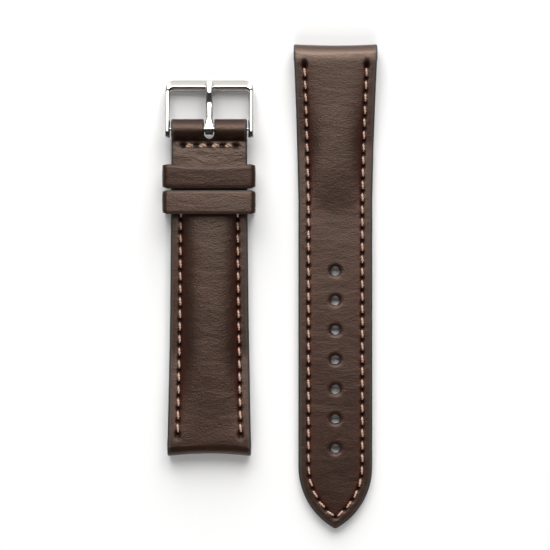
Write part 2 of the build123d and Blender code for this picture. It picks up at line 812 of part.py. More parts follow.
export_step(long_upper.part, "parts/long_upper.step")
export_step(long_padding.part, "parts/long_padding.step")
export_step(long_lining.part, "parts/long_lining.step")
export_step(long_lug_liner.part, "parts/long_lug_liner.step")
export_step(long_seam.part, "parts/long_seam.step")
export_step(short_upper.part, "parts/short_upper.step")
export_step(short_padding.part, "parts/short_padding.step")
export_step(short_lining.part, "parts/short_lining.step")
export_step(short_lug_liner.part, "parts/short_lug_liner.step")
export_step(short_fold_liner.part, "parts/short_fold_liner.step")
export_step(short_seam_left.part, "parts/short_seam_left.step")
export_step(short_seam_right.part, "parts/short_seam_right.step")
export_step(short_cross_seam.part, "parts/short_cross_seam.step")
export_step(fixed_keeper.part, "parts/fixed_keeper.step")
export_step(free_keeper.part, "parts/free_keeper.step")
export_step(free_keeper_stitch.part, "parts/free_keeper_stitch.step")
export_step(spring_bar_tube.part, "parts/spring_bar_tube.step")
export_step(spring_bar_spring.part, "parts/spring_bar_spring.step")
export_step(spring_bar_plunger_left.part, "parts/spring_bar_plunger_left.step")
export_step(spring_bar_plunger_right.part, "parts/spring_bar_plunger_right.step")
export_step(buckle_frame.part, "parts/buckle_frame.step")
export_step(buckle_tongue.part, "parts/buckle_tongue.step")
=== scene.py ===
import json
import logging
import math
from dataclasses import dataclass, field
from enum import Enum
from typing import Callable

import bmesh
import bpy
import numpy as np
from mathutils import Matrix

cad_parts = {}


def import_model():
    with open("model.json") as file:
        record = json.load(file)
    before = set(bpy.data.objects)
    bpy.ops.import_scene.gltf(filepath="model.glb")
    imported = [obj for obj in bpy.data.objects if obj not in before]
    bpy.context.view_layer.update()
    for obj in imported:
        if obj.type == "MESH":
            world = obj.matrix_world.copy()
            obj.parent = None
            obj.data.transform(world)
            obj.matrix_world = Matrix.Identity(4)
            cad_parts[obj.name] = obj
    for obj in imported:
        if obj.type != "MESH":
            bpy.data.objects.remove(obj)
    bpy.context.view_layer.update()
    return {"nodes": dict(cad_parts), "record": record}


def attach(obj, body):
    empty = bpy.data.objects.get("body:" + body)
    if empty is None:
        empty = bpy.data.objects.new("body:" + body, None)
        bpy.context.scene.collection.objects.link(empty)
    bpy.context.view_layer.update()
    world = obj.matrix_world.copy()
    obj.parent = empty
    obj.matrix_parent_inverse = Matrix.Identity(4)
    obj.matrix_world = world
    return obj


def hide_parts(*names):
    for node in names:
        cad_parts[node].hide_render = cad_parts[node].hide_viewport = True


# A two-part padded leather watch strap lying flat. Every surface is worked out in
# millimetres in a strap half's own plane, or bed, and then placed in the frame.

MM = 0.001
CRISP_ANGLE = 50.0  # in degrees; edges that turn more stay crisp
THREAD_CRISP_ANGLE = 60.0
STEEL_CRISP_ANGLE = 32.0
POLE_REACH = 1e-7  # in metres; points this near are merged at a pole
log = logging.getLogger("watch_strap")
Array = np.ndarray


class Half(Enum):
    """The two halves of the strap, by the name their pieces start with."""

    LONG = "long"
    SHORT = "short"


# Small helpers for numbers


def smooth(x: Array, low: float, high: float) -> Array:
    """Ease from 0 at low to 1 at high: three squared parts less two cubed parts.

    Args:
        x: Values to ease.
        low: Where the step starts; it may lie above high for a falling step.
        high: Where the step ends.

    Returns:
        An array from 0 to 1.
    """
    t = np.clip((np.asarray(x, float) - low) / (high - low), 0.0, 1.0)
    return t * t * (3.0 - 2.0 * t)


def bell(x: Array, width: float) -> Array:
    """Return a bell curve: e to the minus square of x over its width."""
    return np.exp(-np.square(np.asarray(x, float) / width))


def rounding(distance: Array, radius: float) -> Array:
    """Return how far a surface sinks near a rounded edge.

    A quarter circle of the given radius meets the flat at one radius from the edge.

    Args:
        distance: Distance from the edge, in mm.
        radius: Radius of the rounded edge.

    Returns:
        The depth below the flat, in mm.
    """
    rest = np.clip(radius - np.asarray(distance, float), 0.0, radius)
    return radius - np.sqrt(np.maximum(radius * radius - rest * rest, 0.0))


def ramp(values: Array, places: Array, at: Array, ease: float = 0.6) -> Array:
    """Interpolate between values at places, easing at each of them.

    Args:
        values: The values.
        places: Where they apply.
        at: Where to interpolate.
        ease: How far the easing reaches to each side, in mm.

    Returns:
        The mean of five values read over that reach.
    """
    steps = np.linspace(-ease, ease, 5)
    return sum(np.interp(np.asarray(at) + step, places, values) for step in steps) / 5.0


# Meshes


def grid_quads(rows: int, columns: int, ring: bool) -> Array:
    """Join neighbours in a grid whose columns close on themselves.

    Args:
        rows: Number of rows.
        columns: Number of points in each row's loop.
        ring: Whether the last row joins the first.

    Returns:
        Corner numbers of the quads, one quad in each row of the array.
    """
    i = np.arange(rows if ring else rows - 1)[:, None]
    j = np.arange(columns)[None, :]
    a = i * columns + j
    b = i * columns + (j + 1) % columns
    c = ((i + 1) % rows) * columns + (j + 1) % columns
    d = ((i + 1) % rows) * columns + j
    return np.stack([a, b, c, d], axis=-1).reshape(-1, 4)


def piece_from(name: str, points: Array, quads: Array, poles: Array | None = None,
               sharp: float = CRISP_ANGLE) -> bpy.types.Object:
    """Put points and quads into a closed, outward-facing, smooth-shaded object.

    Args:
        name: Name of the object.
        points: Places in metres, one in each row.
        quads: Corner numbers.
        poles: Numbers of the points to merge where the surface comes to a pole.
        sharp: Edges with a greater angle than this, in degrees, stay crisp.

    Returns:
        The new object, linked to the scene.
    """
    mesh = bpy.data.meshes.new(name)
    mesh.from_pydata(points.reshape(-1, 3).tolist(), [], quads.tolist())
    work = bmesh.new()
    work.from_mesh(mesh)
    if poles is not None and len(poles):
        work.verts.ensure_lookup_table()
        bmesh.ops.remove_doubles(work, verts=[work.verts[int(i)] for i in poles],
                                dist=POLE_REACH)
    bmesh.ops.recalc_face_normals(work, faces=work.faces)
    work.to_mesh(mesh)
    work.free()
    mesh.shade_smooth()
    mesh.set_sharp_from_angle(angle=math.radians(sharp))
    piece = bpy.data.objects.new(name, mesh)
    bpy.context.collection.objects.link(piece)
    return piece


def closed_shell(name: str, points: Array, ring: bool = False,
                 sharp: float = CRISP_ANGLE) -> bpy.types.Object:
    """Make a closed object from a grid of loops, with a pole at each open end.

    Args:
        name: Name of the object.
        points: Grid of places in metres, as rows, points in a loop, axes.
        ring: Whether the rows close into a ring, so that there are no ends.
        sharp: Angle over which edges stay crisp, in degrees.

    Returns:
        The new object.
    """
    if not ring:
        first = np.repeat(points[:1].mean(axis=1, keepdims=True), points.shape[1], axis=1)
        last = np.repeat(points[-1:].mean(axis=1, keepdims=True), points.shape[1], axis=1)
        points = np.concatenate([first, points, last])
    rows, columns = points.shape[:2]
    poles = None
    if not ring:
        poles = np.concatenate([np.arange(columns), np.arange(columns) + (rows - 1) * columns])
    return piece_from(name, points, grid_quads(rows, columns, ring), poles, sharp)


def many_shells(name: str, points: Array) -> bpy.types.Object:
    """Make one object from many alike tubes, each closed by a pole at both ends.

    Args:
        name: Name of the object.
        points: Places in metres, as tubes, rings, sides, axes.

    Returns:
        The new object.
    """
    ends = points.mean(axis=2, keepdims=True).repeat(points.shape[2], axis=2)
    points = np.concatenate([ends[:, :1], points, ends[:, -1:]], axis=1)
    count, rings, sides = points.shape[:3]
    one = grid_quads(rings, sides, False)
    quads = (one[None] + (np.arange(count) * rings * sides)[:, None, None]).reshape(-1, 4)
    near = np.arange(sides)[None] + (np.arange(count) * rings * sides)[:, None]
    poles = np.concatenate([near.ravel(), (near + (rings - 1) * sides).ravel()])
    return piece_from(name, points, quads, poles, THREAD_CRISP_ANGLE)


def cut_away(piece: bpy.types.Object, cutter: bpy.types.Object, folded: bool = False) -> None:
    """Take one object's volume out of another and delete the cutter.

    Args:
        piece: The object that stays.
        cutter: The object whose volume is taken away.
        folded: Whether the piece touches itself, which takes more care.
    """
    step = piece.modifiers.new("cut", "BOOLEAN")
    step.operation = "DIFFERENCE"
    step.solver = "EXACT"
    step.use_self = folded
    step.object = cutter
    seen = piece.evaluated_get(bpy.context.evaluated_depsgraph_get())
    mesh = bpy.data.meshes.new_from_object(seen)
    piece.modifiers.clear()
    old = piece.data
    piece.data = mesh
    bpy.data.meshes.remove(old)
    bpy.data.objects.remove(cutter)


def places_of(piece: bpy.types.Object) -> Array:
    """Return an object's vertex places.

    Args:
        piece: The object.

    Returns:
        Places in metres, one in each row.
    """
    out = np.empty(len(piece.data.vertices) * 3)
    piece.data.vertices.foreach_get("co", out)
    return out.reshape(-1, 3)


def note(piece: bpy.types.Object, name: str, values: Array) -> None:
    """Store one number at each vertex, for a material to read."""
    layer = piece.data.attributes.new(name, "FLOAT", "POINT")
    layer.data.foreach_set("value", np.asarray(values, np.float32).ravel())


# Beds and plans


@dataclass(frozen=True)
class Bed:
    """A half's own axes: u across it, v along it from its lug bore, w up, in mm."""

    origin: Array
    across: Array
    along: Array
    up: Array

    def world(self, u: Array, v: Array, w: Array) -> Array:
        """Place points of the bed in the frame: the origin, and u, v and w along its axes.

        Args:
            u: Places across, in mm.
            v: Places along.
            w: Heights.

        Returns:
            Places in metres, with the axes last.
        """
        u, v, w = np.broadcast_arrays(u, v, w)
        return self.origin + MM * (u[..., None] * self.across + v[..., None] * self.along
                                   + w[..., None] * self.up)

    def local(self, places: Array) -> tuple[Array, Array, Array]:
        """Return the u, v and w of places in the frame."""
        way = (places - self.origin) / MM
        return way @ self.across, way @ self.along, way @ self.up


@dataclass(frozen=True)
class Plan:
    """A half's outline: straight-sided stretches, and a pointed tip on the long one."""

    places: tuple[float, ...]
    widths: tuple[float, ...]
    end: float
    tip_radius: float = 0.0
    side_radius: float = 0.0

    @property
    def lean(self) -> float:
        """How far off the middle line the tip's side arcs have their centres."""
        return self.side_radius - self.widths[-1] / 2.0

    @property
    def tip_start(self) -> float:
        """Where the straight sides end and the tip's arcs start.

        Returns:
            The place along, in mm.
        """
        if not self.tip_radius:
            return self.end
        reach = math.sqrt((self.side_radius - self.tip_radius) ** 2 - self.lean ** 2)
        return self.end - self.tip_radius - reach

    def with_tip(self, rows: Array, count: int) -> Array:
        """Swap the last rows for rows that crowd towards the point of the tip.

        Args:
            rows: Places along.
            count: How many rows the nose gets, at even steps round its circle.

        Returns:
            Places along.
        """
        nose = self.end - self.tip_radius
        turn = np.radians(np.linspace(-10.0, 89.6, count))
        return np.concatenate([rows[rows < nose - 0.2], nose + self.tip_radius * np.sin(turn)])

    def half(self, v: Array) -> Array:
        """Return half the width at each v.

        The straight sides are interpolated. Past them come the tip's side arc, as the
        root of its radius squared less the way along squared, and the arc of its nose.

        Args:
            v: Places along.

        Returns:
            Half widths in mm.
        """
        v = np.asarray(v, float)
        straight = np.interp(v, self.places, self.widths) / 2.0
        if not self.tip_radius:
            return straight
        rest = self.side_radius ** 2 - (v - self.tip_start) ** 2
        arc = np.sqrt(np.maximum(rest, 0.0)) - self.lean
        nose = self.end - self.tip_radius
        touch = nose + self.tip_radius * (nose - self.tip_start) / (
            self.side_radius - self.tip_radius)
        cap = np.sqrt(np.maximum(self.tip_radius ** 2 - (v - nose) ** 2, 0.0))
        return np.where(v <= self.tip_start, straight, np.where(v <= touch, arc, cap))

    def inset(self, u: Array, v: Array) -> Array:
        """Return the distance in from the outline at each point.

        Args:
            u: Places across.
            v: Places along.

        Returns:
            Distances in mm, below 0 outside the outline.
        """
        u, v = np.abs(u), np.asarray(v, float)
        straight = self.half(np.minimum(v, self.tip_start)) - u
        if not self.tip_radius:
            return straight
        nose = self.end - self.tip_radius
        arc = self.side_radius - np.hypot(u + self.lean, v - self.tip_start)
        beyond = (v - nose) * self.lean > u * (nose - self.tip_start)
        cap = self.tip_radius - np.hypot(u, v - nose)
        round_tip = np.where(beyond & (v > nose), cap, arc)
        return np.where(v <= self.tip_start, straight, round_tip)


# Seams


@dataclass(frozen=True)
class Seam:
    """A row of awl holes, at given places in a bed, and how hard its thread is drawn."""

    awls: Array
    pull: float = 1.0
    pull_width: float = 0.36  # how far a hole draws the leather down, across its seam
    pull_length: float = 0.6  # and along it

    @staticmethod
    def along_side(plan: Plan, inset: float, sign: int, first: float, pitch: float,
                   count: int) -> "Seam":
        """Lay awl holes out along one straight side, at one distance from its edge."""
        v = first + pitch * np.arange(count + 1)
        return Seam(np.stack([sign * (plan.half(v) - inset), v], axis=1))

    @staticmethod
    def round_tip(plan: Plan, inset: float, first: float, count: int) -> "Seam":
        """Lay awl holes out up one side, round the tip's arcs and down the other.

        Each side has count stitches of one length, the last one ending at the tip.

        Args:
            plan: The half's outline.
            inset: Distance of the seam from the edge.
            first: Where the first awl hole lies.
            count: Stitches on each side.

        Returns:
            The seam.
        """
        turn_radius = plan.side_radius - inset
        straight = plan.tip_start - first
        apex = math.atan2(math.sqrt(turn_radius ** 2 - plan.lean ** 2), plan.lean)
        way = np.linspace(0.0, straight + turn_radius * apex, count + 1)
        v = first + way
        turn = (way - straight) / turn_radius
        on_side = way <= straight
        u = np.where(on_side, plan.half(np.minimum(v, plan.tip_start)) - inset,
                     turn_radius * np.cos(turn) - plan.lean)
        v = np.where(on_side, v, plan.tip_start + turn_radius * np.sin(turn))
        u[-1] = 0.0
        right = np.stack([u, v], axis=1)
        left = right[-2::-1] * np.array([-1.0, 1.0])
        return Seam(np.concatenate([right, left]))

    @staticmethod
    def across_strap(v: float, pitch: float, count: int) -> "Seam":
        """Lay awl holes out straight across the strap."""
        u = (np.arange(count + 1) - count / 2.0) * pitch
        return Seam(np.stack([u, np.full_like(u, v)], axis=1), pull=1.35)

    def dimples(self, u: Array, v: Array) -> Array:
        """Return from 0 to 1 how near each point is to the nearest awl hole.

        Args:
            u: Places across.
            v: Places along.

        Returns:
            1 at an awl hole, falling away from it.
        """
        u, v = np.broadcast_arrays(u, v)
        width, length = self.pull_width * self.pull, self.pull_length * self.pull
        out = np.zeros(u.shape)
        ahead = np.gradient(self.awls, axis=0)
        ahead = ahead / np.hypot(ahead[:, 0], ahead[:, 1])[:, None]
        for (awl_u, awl_v), (go_u, go_v) in zip(self.awls, ahead):
            near = np.abs(v - awl_v) < 3.0 * length
            du, dv = u[near] - awl_u, v[near] - awl_v
            on, off = du * go_u + dv * go_v, du * go_v - dv * go_u
            out[near] = np.maximum(out[near], bell(np.hypot(on / length, off / width), 1.0))
        return out


@dataclass(frozen=True)
class TwistedThread:
    """Waxed thread of two plies twisted together, as one plump stitch at a time."""

    ply: float = 0.155
    offset: float = 0.12
    twist: float = 1.3
    rings: int = 13
    sides: int = 8
    slant: float = 0.11
    hidden: float = 0.15
    sink: float = 0.5
    lift: float = 0.08
    flatten: float = 0.8
    end_size: float = 0.75
    floor: float = 0.02

    def sew(self, bed: Bed, seam: Seam, surface: Callable[[Array], Array], sign: float = 1.0,
            scale: float = 1.0) -> Array:
        """Lay a stitch between each two awl holes.

        Along a stitch the middle line rises from its awl hole as the root of a
        sine, and each ply circles that line once in every twist length.

        Args:
            bed: The half's bed.
            seam: The awl holes.
            surface: Height of the leather that the stitches lie on, from places along it.
            sign: 1 for stitches on top, -1 for those underneath.
            scale: Thickness of this thread as a part of the usual one.

        Returns:
            Places in metres, as tubes, rings, sides, axes.
        """
        start, way = seam.awls[:-1], np.diff(seam.awls, axis=0)
        length = np.hypot(way[:, 0], way[:, 1])
        ahead = way / length[:, None]
        aside = np.stack([ahead[:, 1], -ahead[:, 0]], axis=1)
        t = np.linspace(0.0, 1.0, self.rings)
        run = self.hidden + (1.0 - 2.0 * self.hidden) * t
        middle = (start[:, None] + way[:, None] * run[None, :, None]
                  - aside[:, None] * (self.slant * (2.0 * t - 1.0))[None, :, None])
        arch = np.sqrt(np.maximum(np.sin(np.pi * t), 0.0))
        height = surface(middle[..., 1]) + sign * (self.lift * scale * arch
                                                   - self.sink * (1.0 - arch))[None]
        shells = []
        for ply in (0.0, math.pi):
            turn = ply - 2.0 * math.pi * length[:, None] * run[None] / (self.twist * scale)
            away = self.offset * scale
            u0 = middle[..., 0] + aside[:, None, 0] * np.cos(turn) * away
            v0 = middle[..., 1] + aside[:, None, 1] * np.cos(turn) * away
            w0 = height + np.sin(turn) * away * self.flatten
            around = np.linspace(0.0, 2.0 * math.pi, self.sides, endpoint=False)
            plump = self.ply * scale * (self.end_size + (1.0 - self.end_size) * arch)
            radial = plump[None, :, None] * np.cos(around)
            u = u0[..., None] + aside[:, None, 0][..., None] * radial
            v = v0[..., None] + aside[:, None, 1][..., None] * radial
            w = w0[..., None] + plump[None, :, None] * np.sin(around)
            shells.append(bed.world(u, v, np.maximum(w, self.floor) if sign < 0 else w))
        return np.concatenate(shells)


# Materials


def linear(colour: str) -> tuple[float, float, float, float]:
    """Turn an sRGB hex colour to the linear values that shaders use.

    Args:
        colour: Six hex digits.

    Returns:
        Linear red, green, blue and an alpha of 1.
    """
    parts = [int(colour[i:i + 2], 16) / 255.0 for i in (0, 2, 4)]
    red, green, blue = (c / 12.92 if c <= 0.04045 else ((c + 0.055) / 1.055) ** 2.4 for c in parts)
    return (red, green, blue, 1.0)


def feed(tree: bpy.types.NodeTree, node: bpy.types.Node, links: dict) -> None:
    """Set a node's inputs, each to a value or from an output.

    Args:
        tree: The node tree.
        node: The node.
        links: Socket name or number to a value, or to an output that feeds it.
    """
    for socket, value in links.items():
        if isinstance(value, bpy.types.NodeSocket):
            tree.links.new(value, node.inputs[socket])
        else:
            node.inputs[socket].default_value = value


def add_node(tree: bpy.types.NodeTree, kind: str, links: dict | None = None,
             **settings: object) -> bpy.types.Node:
    """Add a shader node with its settings, values and links.

    Args:
        tree: The node tree.
        kind: The node's type.
        links: Socket name or number to a value, or to an output that feeds it.
        settings: Properties of the node itself.

    Returns:
        The node.
    """
    node = tree.nodes.new(kind)
    for name, value in settings.items():
        setattr(node, name, value)
    feed(tree, node, links or {})
    return node


def new_material(name: str) -> tuple[bpy.types.Material, bpy.types.NodeTree, bpy.types.Node]:
    """Start a material with an untouched Principled shader.

    Args:
        name: Name of the material.

    Returns:
        The material, its node tree and its shader.
    """
    material = bpy.data.materials.new(name)
    material.use_nodes = True
    tree = material.node_tree
    shader = next(n for n in tree.nodes if n.type == "BSDF_PRINCIPLED")
    return material, tree, shader


@dataclass(frozen=True)
class CalfLeather:
    """Waxed, pigmented calf. The eye sees a fine grain, dark waxed tone and painted edges."""

    name: str
    body: str
    shade: str
    # tone beside a seam: partly warmer leather, partly painted shade on the padding's side slopes
    seam_warmth_and_shade: str
    edge: str = "2a2a2a"
    # near-black painted shade for the awl holes; hole_shine takes their sheen away too
    hole: str = "0c0605"
    roughness: float = 0.36
    edge_roughness: float = 0.5
    grain: float = 0.4
    grain_depth: float = 0.075
    crease: float = 3.2
    crease_depth: float = 0.24
    cloud: float = 6.0
    shine: float = 0.5
    worn_shine: float = 1.05
    hole_shine: float = 0.05
    gloss: str = "ffe0cc"
    unevenness: float = 0.06  # of the roughness, to each side
    crumpling: float = 4.0  # how much deeper creases get where crumpled is 1
    ior: float = 1.48

    def make(self) -> bpy.types.Material:
        """Build the material.

        Clouds of tone a few mm wide, grain cells of the named size in mm, fine
        creases that run mostly across the strap, a warmer, darker tone beside a seam
        where the attribute seam says so, partly painted shade on the padding's slopes,
        edge paint where painted does, which also puts painted shade in the round holes
        and the slot, near-black painted shade with little sheen where an attribute
        marks an awl hole, more shine where worn does, and deeper creases where
        crumpled does.

        Returns:
            The material.
        """
        material, tree, shader = new_material(self.name)
        where = add_node(tree, "ShaderNodeTexCoord").outputs["Object"]
        mark = {name: add_node(tree, "ShaderNodeAttribute", attribute_name=name).outputs["Fac"]
                for name in ("seam", "painted", "awl_hole_shade", "crumpled", "worn")}
        cloud = add_node(tree, "ShaderNodeTexNoise", {
            "Vector": where, "Scale": 1.0 / (self.cloud * MM), "Detail": 3.0, "Roughness": 0.6})
        tone = add_node(tree, "ShaderNodeMapRange", {
            0: cloud.outputs[0], 1: 0.32, 2: 0.68, 3: 0.0, 4: 1.0})
        colour = linear(self.shade)
        # Over the random tone go the warmer, darker tone beside the seams (partly painted shade),
        # the edge paint (with painted shade in the round holes and the slot) and the near-black
        # painted shade of the awl holes.
        for factor, tint in ((tone.outputs[0], self.body), (mark["seam"], self.seam_warmth_and_shade),
                             (mark["painted"], self.edge), (mark["awl_hole_shade"], self.hole)):
            colour = add_node(tree, "ShaderNodeMix", {0: factor, 6: colour, 7: linear(tint)},
                              data_type="RGBA").outputs[2]
        cells = add_node(tree, "ShaderNodeTexVoronoi", {
            "Vector": where, "Scale": 1.0 / (self.grain * MM)})
        fine = add_node(tree, "ShaderNodeTexNoise", {
            "Vector": where, "Scale": 2.2 / (self.grain * MM), "Detail": 2.0})
        uneven = add_node(tree, "ShaderNodeMapRange", {
            0: fine.outputs[0], 1: 0.3, 2: 0.7, 3: self.roughness - self.unevenness,
            4: self.roughness + self.unevenness})
        rough = add_node(tree, "ShaderNodeMix", {
            0: mark["painted"], 2: uneven.outputs[0], 3: self.edge_roughness}, data_type="FLOAT")
        height = add_node(tree, "ShaderNodeMath", {0: cells.outputs["Distance"], 1: 0.6},
                          operation="MULTIPLY")
        total = add_node(tree, "ShaderNodeMath", {0: height.outputs[0], 1: fine.outputs[0]},
                         operation="ADD")
        longer = add_node(tree, "ShaderNodeMapping", {"Vector": where, "Scale": (0.45, 1.0, 1.0)})
        crease = add_node(tree, "ShaderNodeTexNoise", {
            "Vector": longer.outputs[0], "Scale": 1.0 / (self.crease * MM), "Detail": 5.0,
            "Roughness": 0.62, "Distortion": 0.4})
        deeper = add_node(tree, "ShaderNodeMath", {
            0: mark["crumpled"], 1: self.crumpling, 2: 1.0}, operation="MULTIPLY_ADD")
        creased = add_node(tree, "ShaderNodeMath", {
            0: crease.outputs[0], 1: deeper.outputs[0]}, operation="MULTIPLY")
        wrinkled = add_node(tree, "ShaderNodeBump", {
            "Height": creased.outputs[0], "Strength": 0.6, "Distance": self.crease_depth * MM})
        bump = add_node(tree, "ShaderNodeBump", {
            "Height": total.outputs[0], "Strength": 0.6, "Distance": self.grain_depth * MM,
            "Normal": wrinkled.outputs[0]})
        shine = self.shine
        # Worn leather shines more; the painted shade in the awl holes loses nearly all its sheen.
        for factor, level in ((mark["worn"], self.worn_shine), (mark["awl_hole_shade"], self.hole_shine)):
            shine = add_node(tree, "ShaderNodeMix", {0: factor, 2: shine, 3: level},
                             data_type="FLOAT").outputs[0]
        feed(tree, shader, {"Base Color": colour, "Roughness": rough.outputs[0],
                            "Normal": bump.outputs[0], "IOR": self.ior,
                            "Specular IOR Level": shine, "Specular Tint": linear(self.gloss)})
        return material


@dataclass(frozen=True)
class WaxedThread:
    """Waxed polyester thread. The eye sees soft fibres and the shade between its plies."""

    name: str = "waxed_thread_tan"
    body: str = "dcb9a4"
    shade: str = "a9826e"
    fibre: float = 0.16
    fibre_depth: float = 0.03
    roughness: float = 0.62
    fuzz: float = 0.15

    def make(self) -> bpy.types.Material:
        """Build the material, with fibres about half the named size in mm wide.

        Returns:
            The material.
        """
        material, tree, shader = new_material(self.name)
        where = add_node(tree, "ShaderNodeTexCoord").outputs["Object"]
        fibre = add_node(tree, "ShaderNodeTexNoise", {
            "Vector": where, "Scale": 1.0 / (self.fibre * MM), "Detail": 2.0})
        colour = add_node(tree, "ShaderNodeMix", {
            0: fibre.outputs[0], 6: linear(self.shade), 7: linear(self.body)}, data_type="RGBA")
        bump = add_node(tree, "ShaderNodeBump", {
            "Height": fibre.outputs[0], "Strength": 0.5, "Distance": self.fibre_depth * MM})
        feed(tree, shader, {"Base Color": colour.outputs[2], "Normal": bump.outputs[0],
                            "Roughness": self.roughness, "Sheen Weight": self.fuzz})
        return material


@dataclass(frozen=True)
class Steel:
    """Stainless steel. The eye sees clear reflections, and a satin face where one is brushed."""

    name: str
    body: str = "d9d7d2"
    # colour of a brushed face: darker than the polish, as painted shade
    matt_and_shade: str = "9c9994"
    roughness: float = 0.1
    satin: float = 0.36
    handling: float = 2.0  # size in mm of the clouds that handling leaves in the polish

    def make(self) -> bpy.types.Material:
        """Build the material; the attribute satin roughens brushed faces and darkens them as
        painted shade.

        Returns:
            The material.
        """
        material, tree, shader = new_material(self.name)
        where = add_node(tree, "ShaderNodeTexCoord").outputs["Object"]
        wear = add_node(tree, "ShaderNodeTexNoise", {
            "Vector": where, "Scale": 1.0 / (self.handling * MM), "Detail": 4.0})
        polished = add_node(tree, "ShaderNodeMapRange", {
            0: wear.outputs[0], 1: 0.3, 2: 0.7, 3: self.roughness * 0.8, 4: self.roughness * 1.3})
        brushed = add_node(tree, "ShaderNodeAttribute", attribute_name="satin").outputs["Fac"]
        # Brushed faces take the darker colour as painted shade, and a higher roughness.
        colour = add_node(tree, "ShaderNodeMix", {
            0: brushed, 6: linear(self.body), 7: linear(self.matt_and_shade)}, data_type="RGBA")
        rough = add_node(tree, "ShaderNodeMix", {
            0: brushed, 2: polished.outputs[0], 3: self.satin}, data_type="FLOAT")
        feed(tree, shader, {"Base Color": colour.outputs[2], "Roughness": rough.outputs[0],
                            "Metallic": 1.0})
        return material


# Leather of both halves


@dataclass
class PaddedHalf:
    """One half of the strap: padded upper leather, lining and what sews them together."""

    half: Half
    bed: Bed
    plan: Plan
    seams: list[Seam]
    crown_places: tuple[float, ...]
    crowns: tuple[float, ...]
    end_row: float
    fold: float = 0.0
    leather: float = 1.1
    lug_radius: float = 2.45
    fold_radius: float = 2.35
    turned_under: float = 8.0
    returned_to: float = 69.0
    flange: float = 2.2
    edge_radius: float = 0.42
    pad_inset: float = 2.7
    seam_inset: float = 2.4
    hollow: float = 0.3
    pitch: float = 0.24
    slot_half: float = 1.25
    slot_end: float = 73.45
    dished: list[tuple[float, float]] = field(default_factory=list)
    hole_radius: float = 1.1
    wrinkles: list[tuple[float, float]] = field(default_factory=list)
    side_end: float = 200.0
    pad_power: float = 2.8
    burnish: float = 0.12  # how far the edge is rubbed down, over burnish_reach
    burnish_reach: float = 0.7
    drawn_in: float = 0.10  # how far a side seam's thread draws the leather down
    dimple_depth: float = 0.45
    start_depth: float = 0.4  # of the hole where a side seam's thread starts
    dish_depth: float = 0.24  # round an adjustment hole
    dish_radius: float = 0.3
    wrinkle_depth: float = 0.1
    groove_depth: float = 0.28  # pressed underneath for the thread
    groove_width: float = 0.42
    inner_radius: float = 0.12
    slot_radius: float = 0.34
    bow_reach: float = 5.0
    play: float = 0.02  # between leathers that touch
    fold_fillet: float = 0.9
    bore_run: float = 2.2  # on this stretch of the top the inner face goes round the bore
    level_from: float = 4.6  # and from here on it lies right under the top

    def crown_height(self, v: Array) -> Array:
        """Return the height of the padding along the middle line."""
        return ramp(self.crowns, self.crown_places, v, 1.7)

    def edge_height(self, v: Array) -> Array:
        """Return the height of the leather's edge.

        It tapers evenly from the lug loop to the sewn flange, and rises nearly to
        the padding's height where no side seam draws it down.

        Args:
            v: Places along.

        Returns:
            Heights in mm.
        """
        fall = ramp((2.0 * self.lug_radius - self.flange, 0.0), (1.2, 22.0), v, 1.2)
        unsewn = 0.8 * smooth(v, self.side_end - 1.0, self.side_end + 4.0)
        return self.flange + fall + unsewn * (self.crown_height(v) - self.flange)

    def height(self, u: Array, v: Array) -> Array:
        """Return the height of the top surface.

        The flange is level. From its inner side the padding rises steeply and
        then gently, as one less the 2.8th power of the part of the way left. Each
        awl hole draws the leather down, and so does the seam between them.

        Args:
            u: Places across.
            v: Places along.

        Returns:
            Heights in mm.
        """
        inset = self.plan.inset(u, v)
        half = self.plan.half(np.minimum(v, self.plan.tip_start))
        start = self.pad_inset * (1.0 - smooth(v, self.side_end, self.side_end + 5.0))
        rise = np.clip((inset - start) / (half - start), 0.0, 1.0)
        swell = 1.0 - (1.0 - rise) ** self.pad_power
        edge = self.edge_height(v)
        crown = np.maximum(self.crown_height(v), edge)
        w = edge + (crown - edge) * swell
        w = w - self.burnish * np.exp(-np.maximum(inset, 0.0) / self.burnish_reach)
        sewn = self.sewn(v)
        w = w - self.drawn_in * bell(inset - self.seam_inset, 0.5) * sewn
        for seam in self.seams:
            w = w - self.dimple_depth * seam.dimples(u, v)
        w = w - self.start_depth * self.first_holes(u, v)
        # Two slow waves of a few hundredths of a mm, so that no stretch is quite flat
        w = w + 0.02 * np.sin(v / 5.1 + 1.0) * np.sin(u / 3.7) + 0.015 * np.sin(v / 2.3 + u / 2.9)
        for hole_u, hole_v in self.dished:
            away = np.maximum(np.hypot(u - hole_u, v - hole_v) - self.hole_radius, 0.0)
            w = w - rounding(away, self.dish_radius) - self.dish_depth * bell(away, 0.45)
        for wrinkle_u, wrinkle_v in self.wrinkles:
            du, dv = u - wrinkle_u, v - wrinkle_v
            w = w - self.wrinkle_depth * bell(du, 0.9) * np.cos(dv * 4.0 + du * 2.0) * bell(dv, 0.9)
        return w

    def first_holes(self, u: Array, v: Array) -> Array:
        """Return from 0 to 1 how near each point is to where a side seam's thread starts.

        Args:
            u: Places across.
            v: Places along.

        Returns:
            1 at a seam's first hole, falling away from it as a bell curve.
        """
        starts = np.concatenate([s.awls[s.awls[:, 1] < 4.0] for s in self.seams])
        out = np.zeros_like(u + v)
        for start_u, start_v in starts:
            away = np.hypot((u - start_u) / 0.6, (v - start_v + 0.5) / 0.95)
            out = np.maximum(out, bell(away, 1.0))
        return out

    def sewn(self, v: Array) -> Array:
        """Return 1 beside a side seam and 0 past its ends, with an ease between.

        Args:
            v: Places along.

        Returns:
            Values from 0 to 1.
        """
        first = min(float(s.awls[:, 1].min()) for s in self.seams)
        last = min(max(float(s.awls[:, 1].max()) for s in self.seams), self.side_end)
        return smooth(v, first - 0.6, first) * (1.0 - smooth(v, last, last + 0.6))

    def slot_gap(self, u: Array, v: Array) -> Array:
        """Return the distance outside the tongue's slot, which has a round end."""
        behind = np.minimum(np.asarray(v, float) - (self.slot_end + self.slot_half), 0.0)
        return np.hypot(u, behind) - self.slot_half

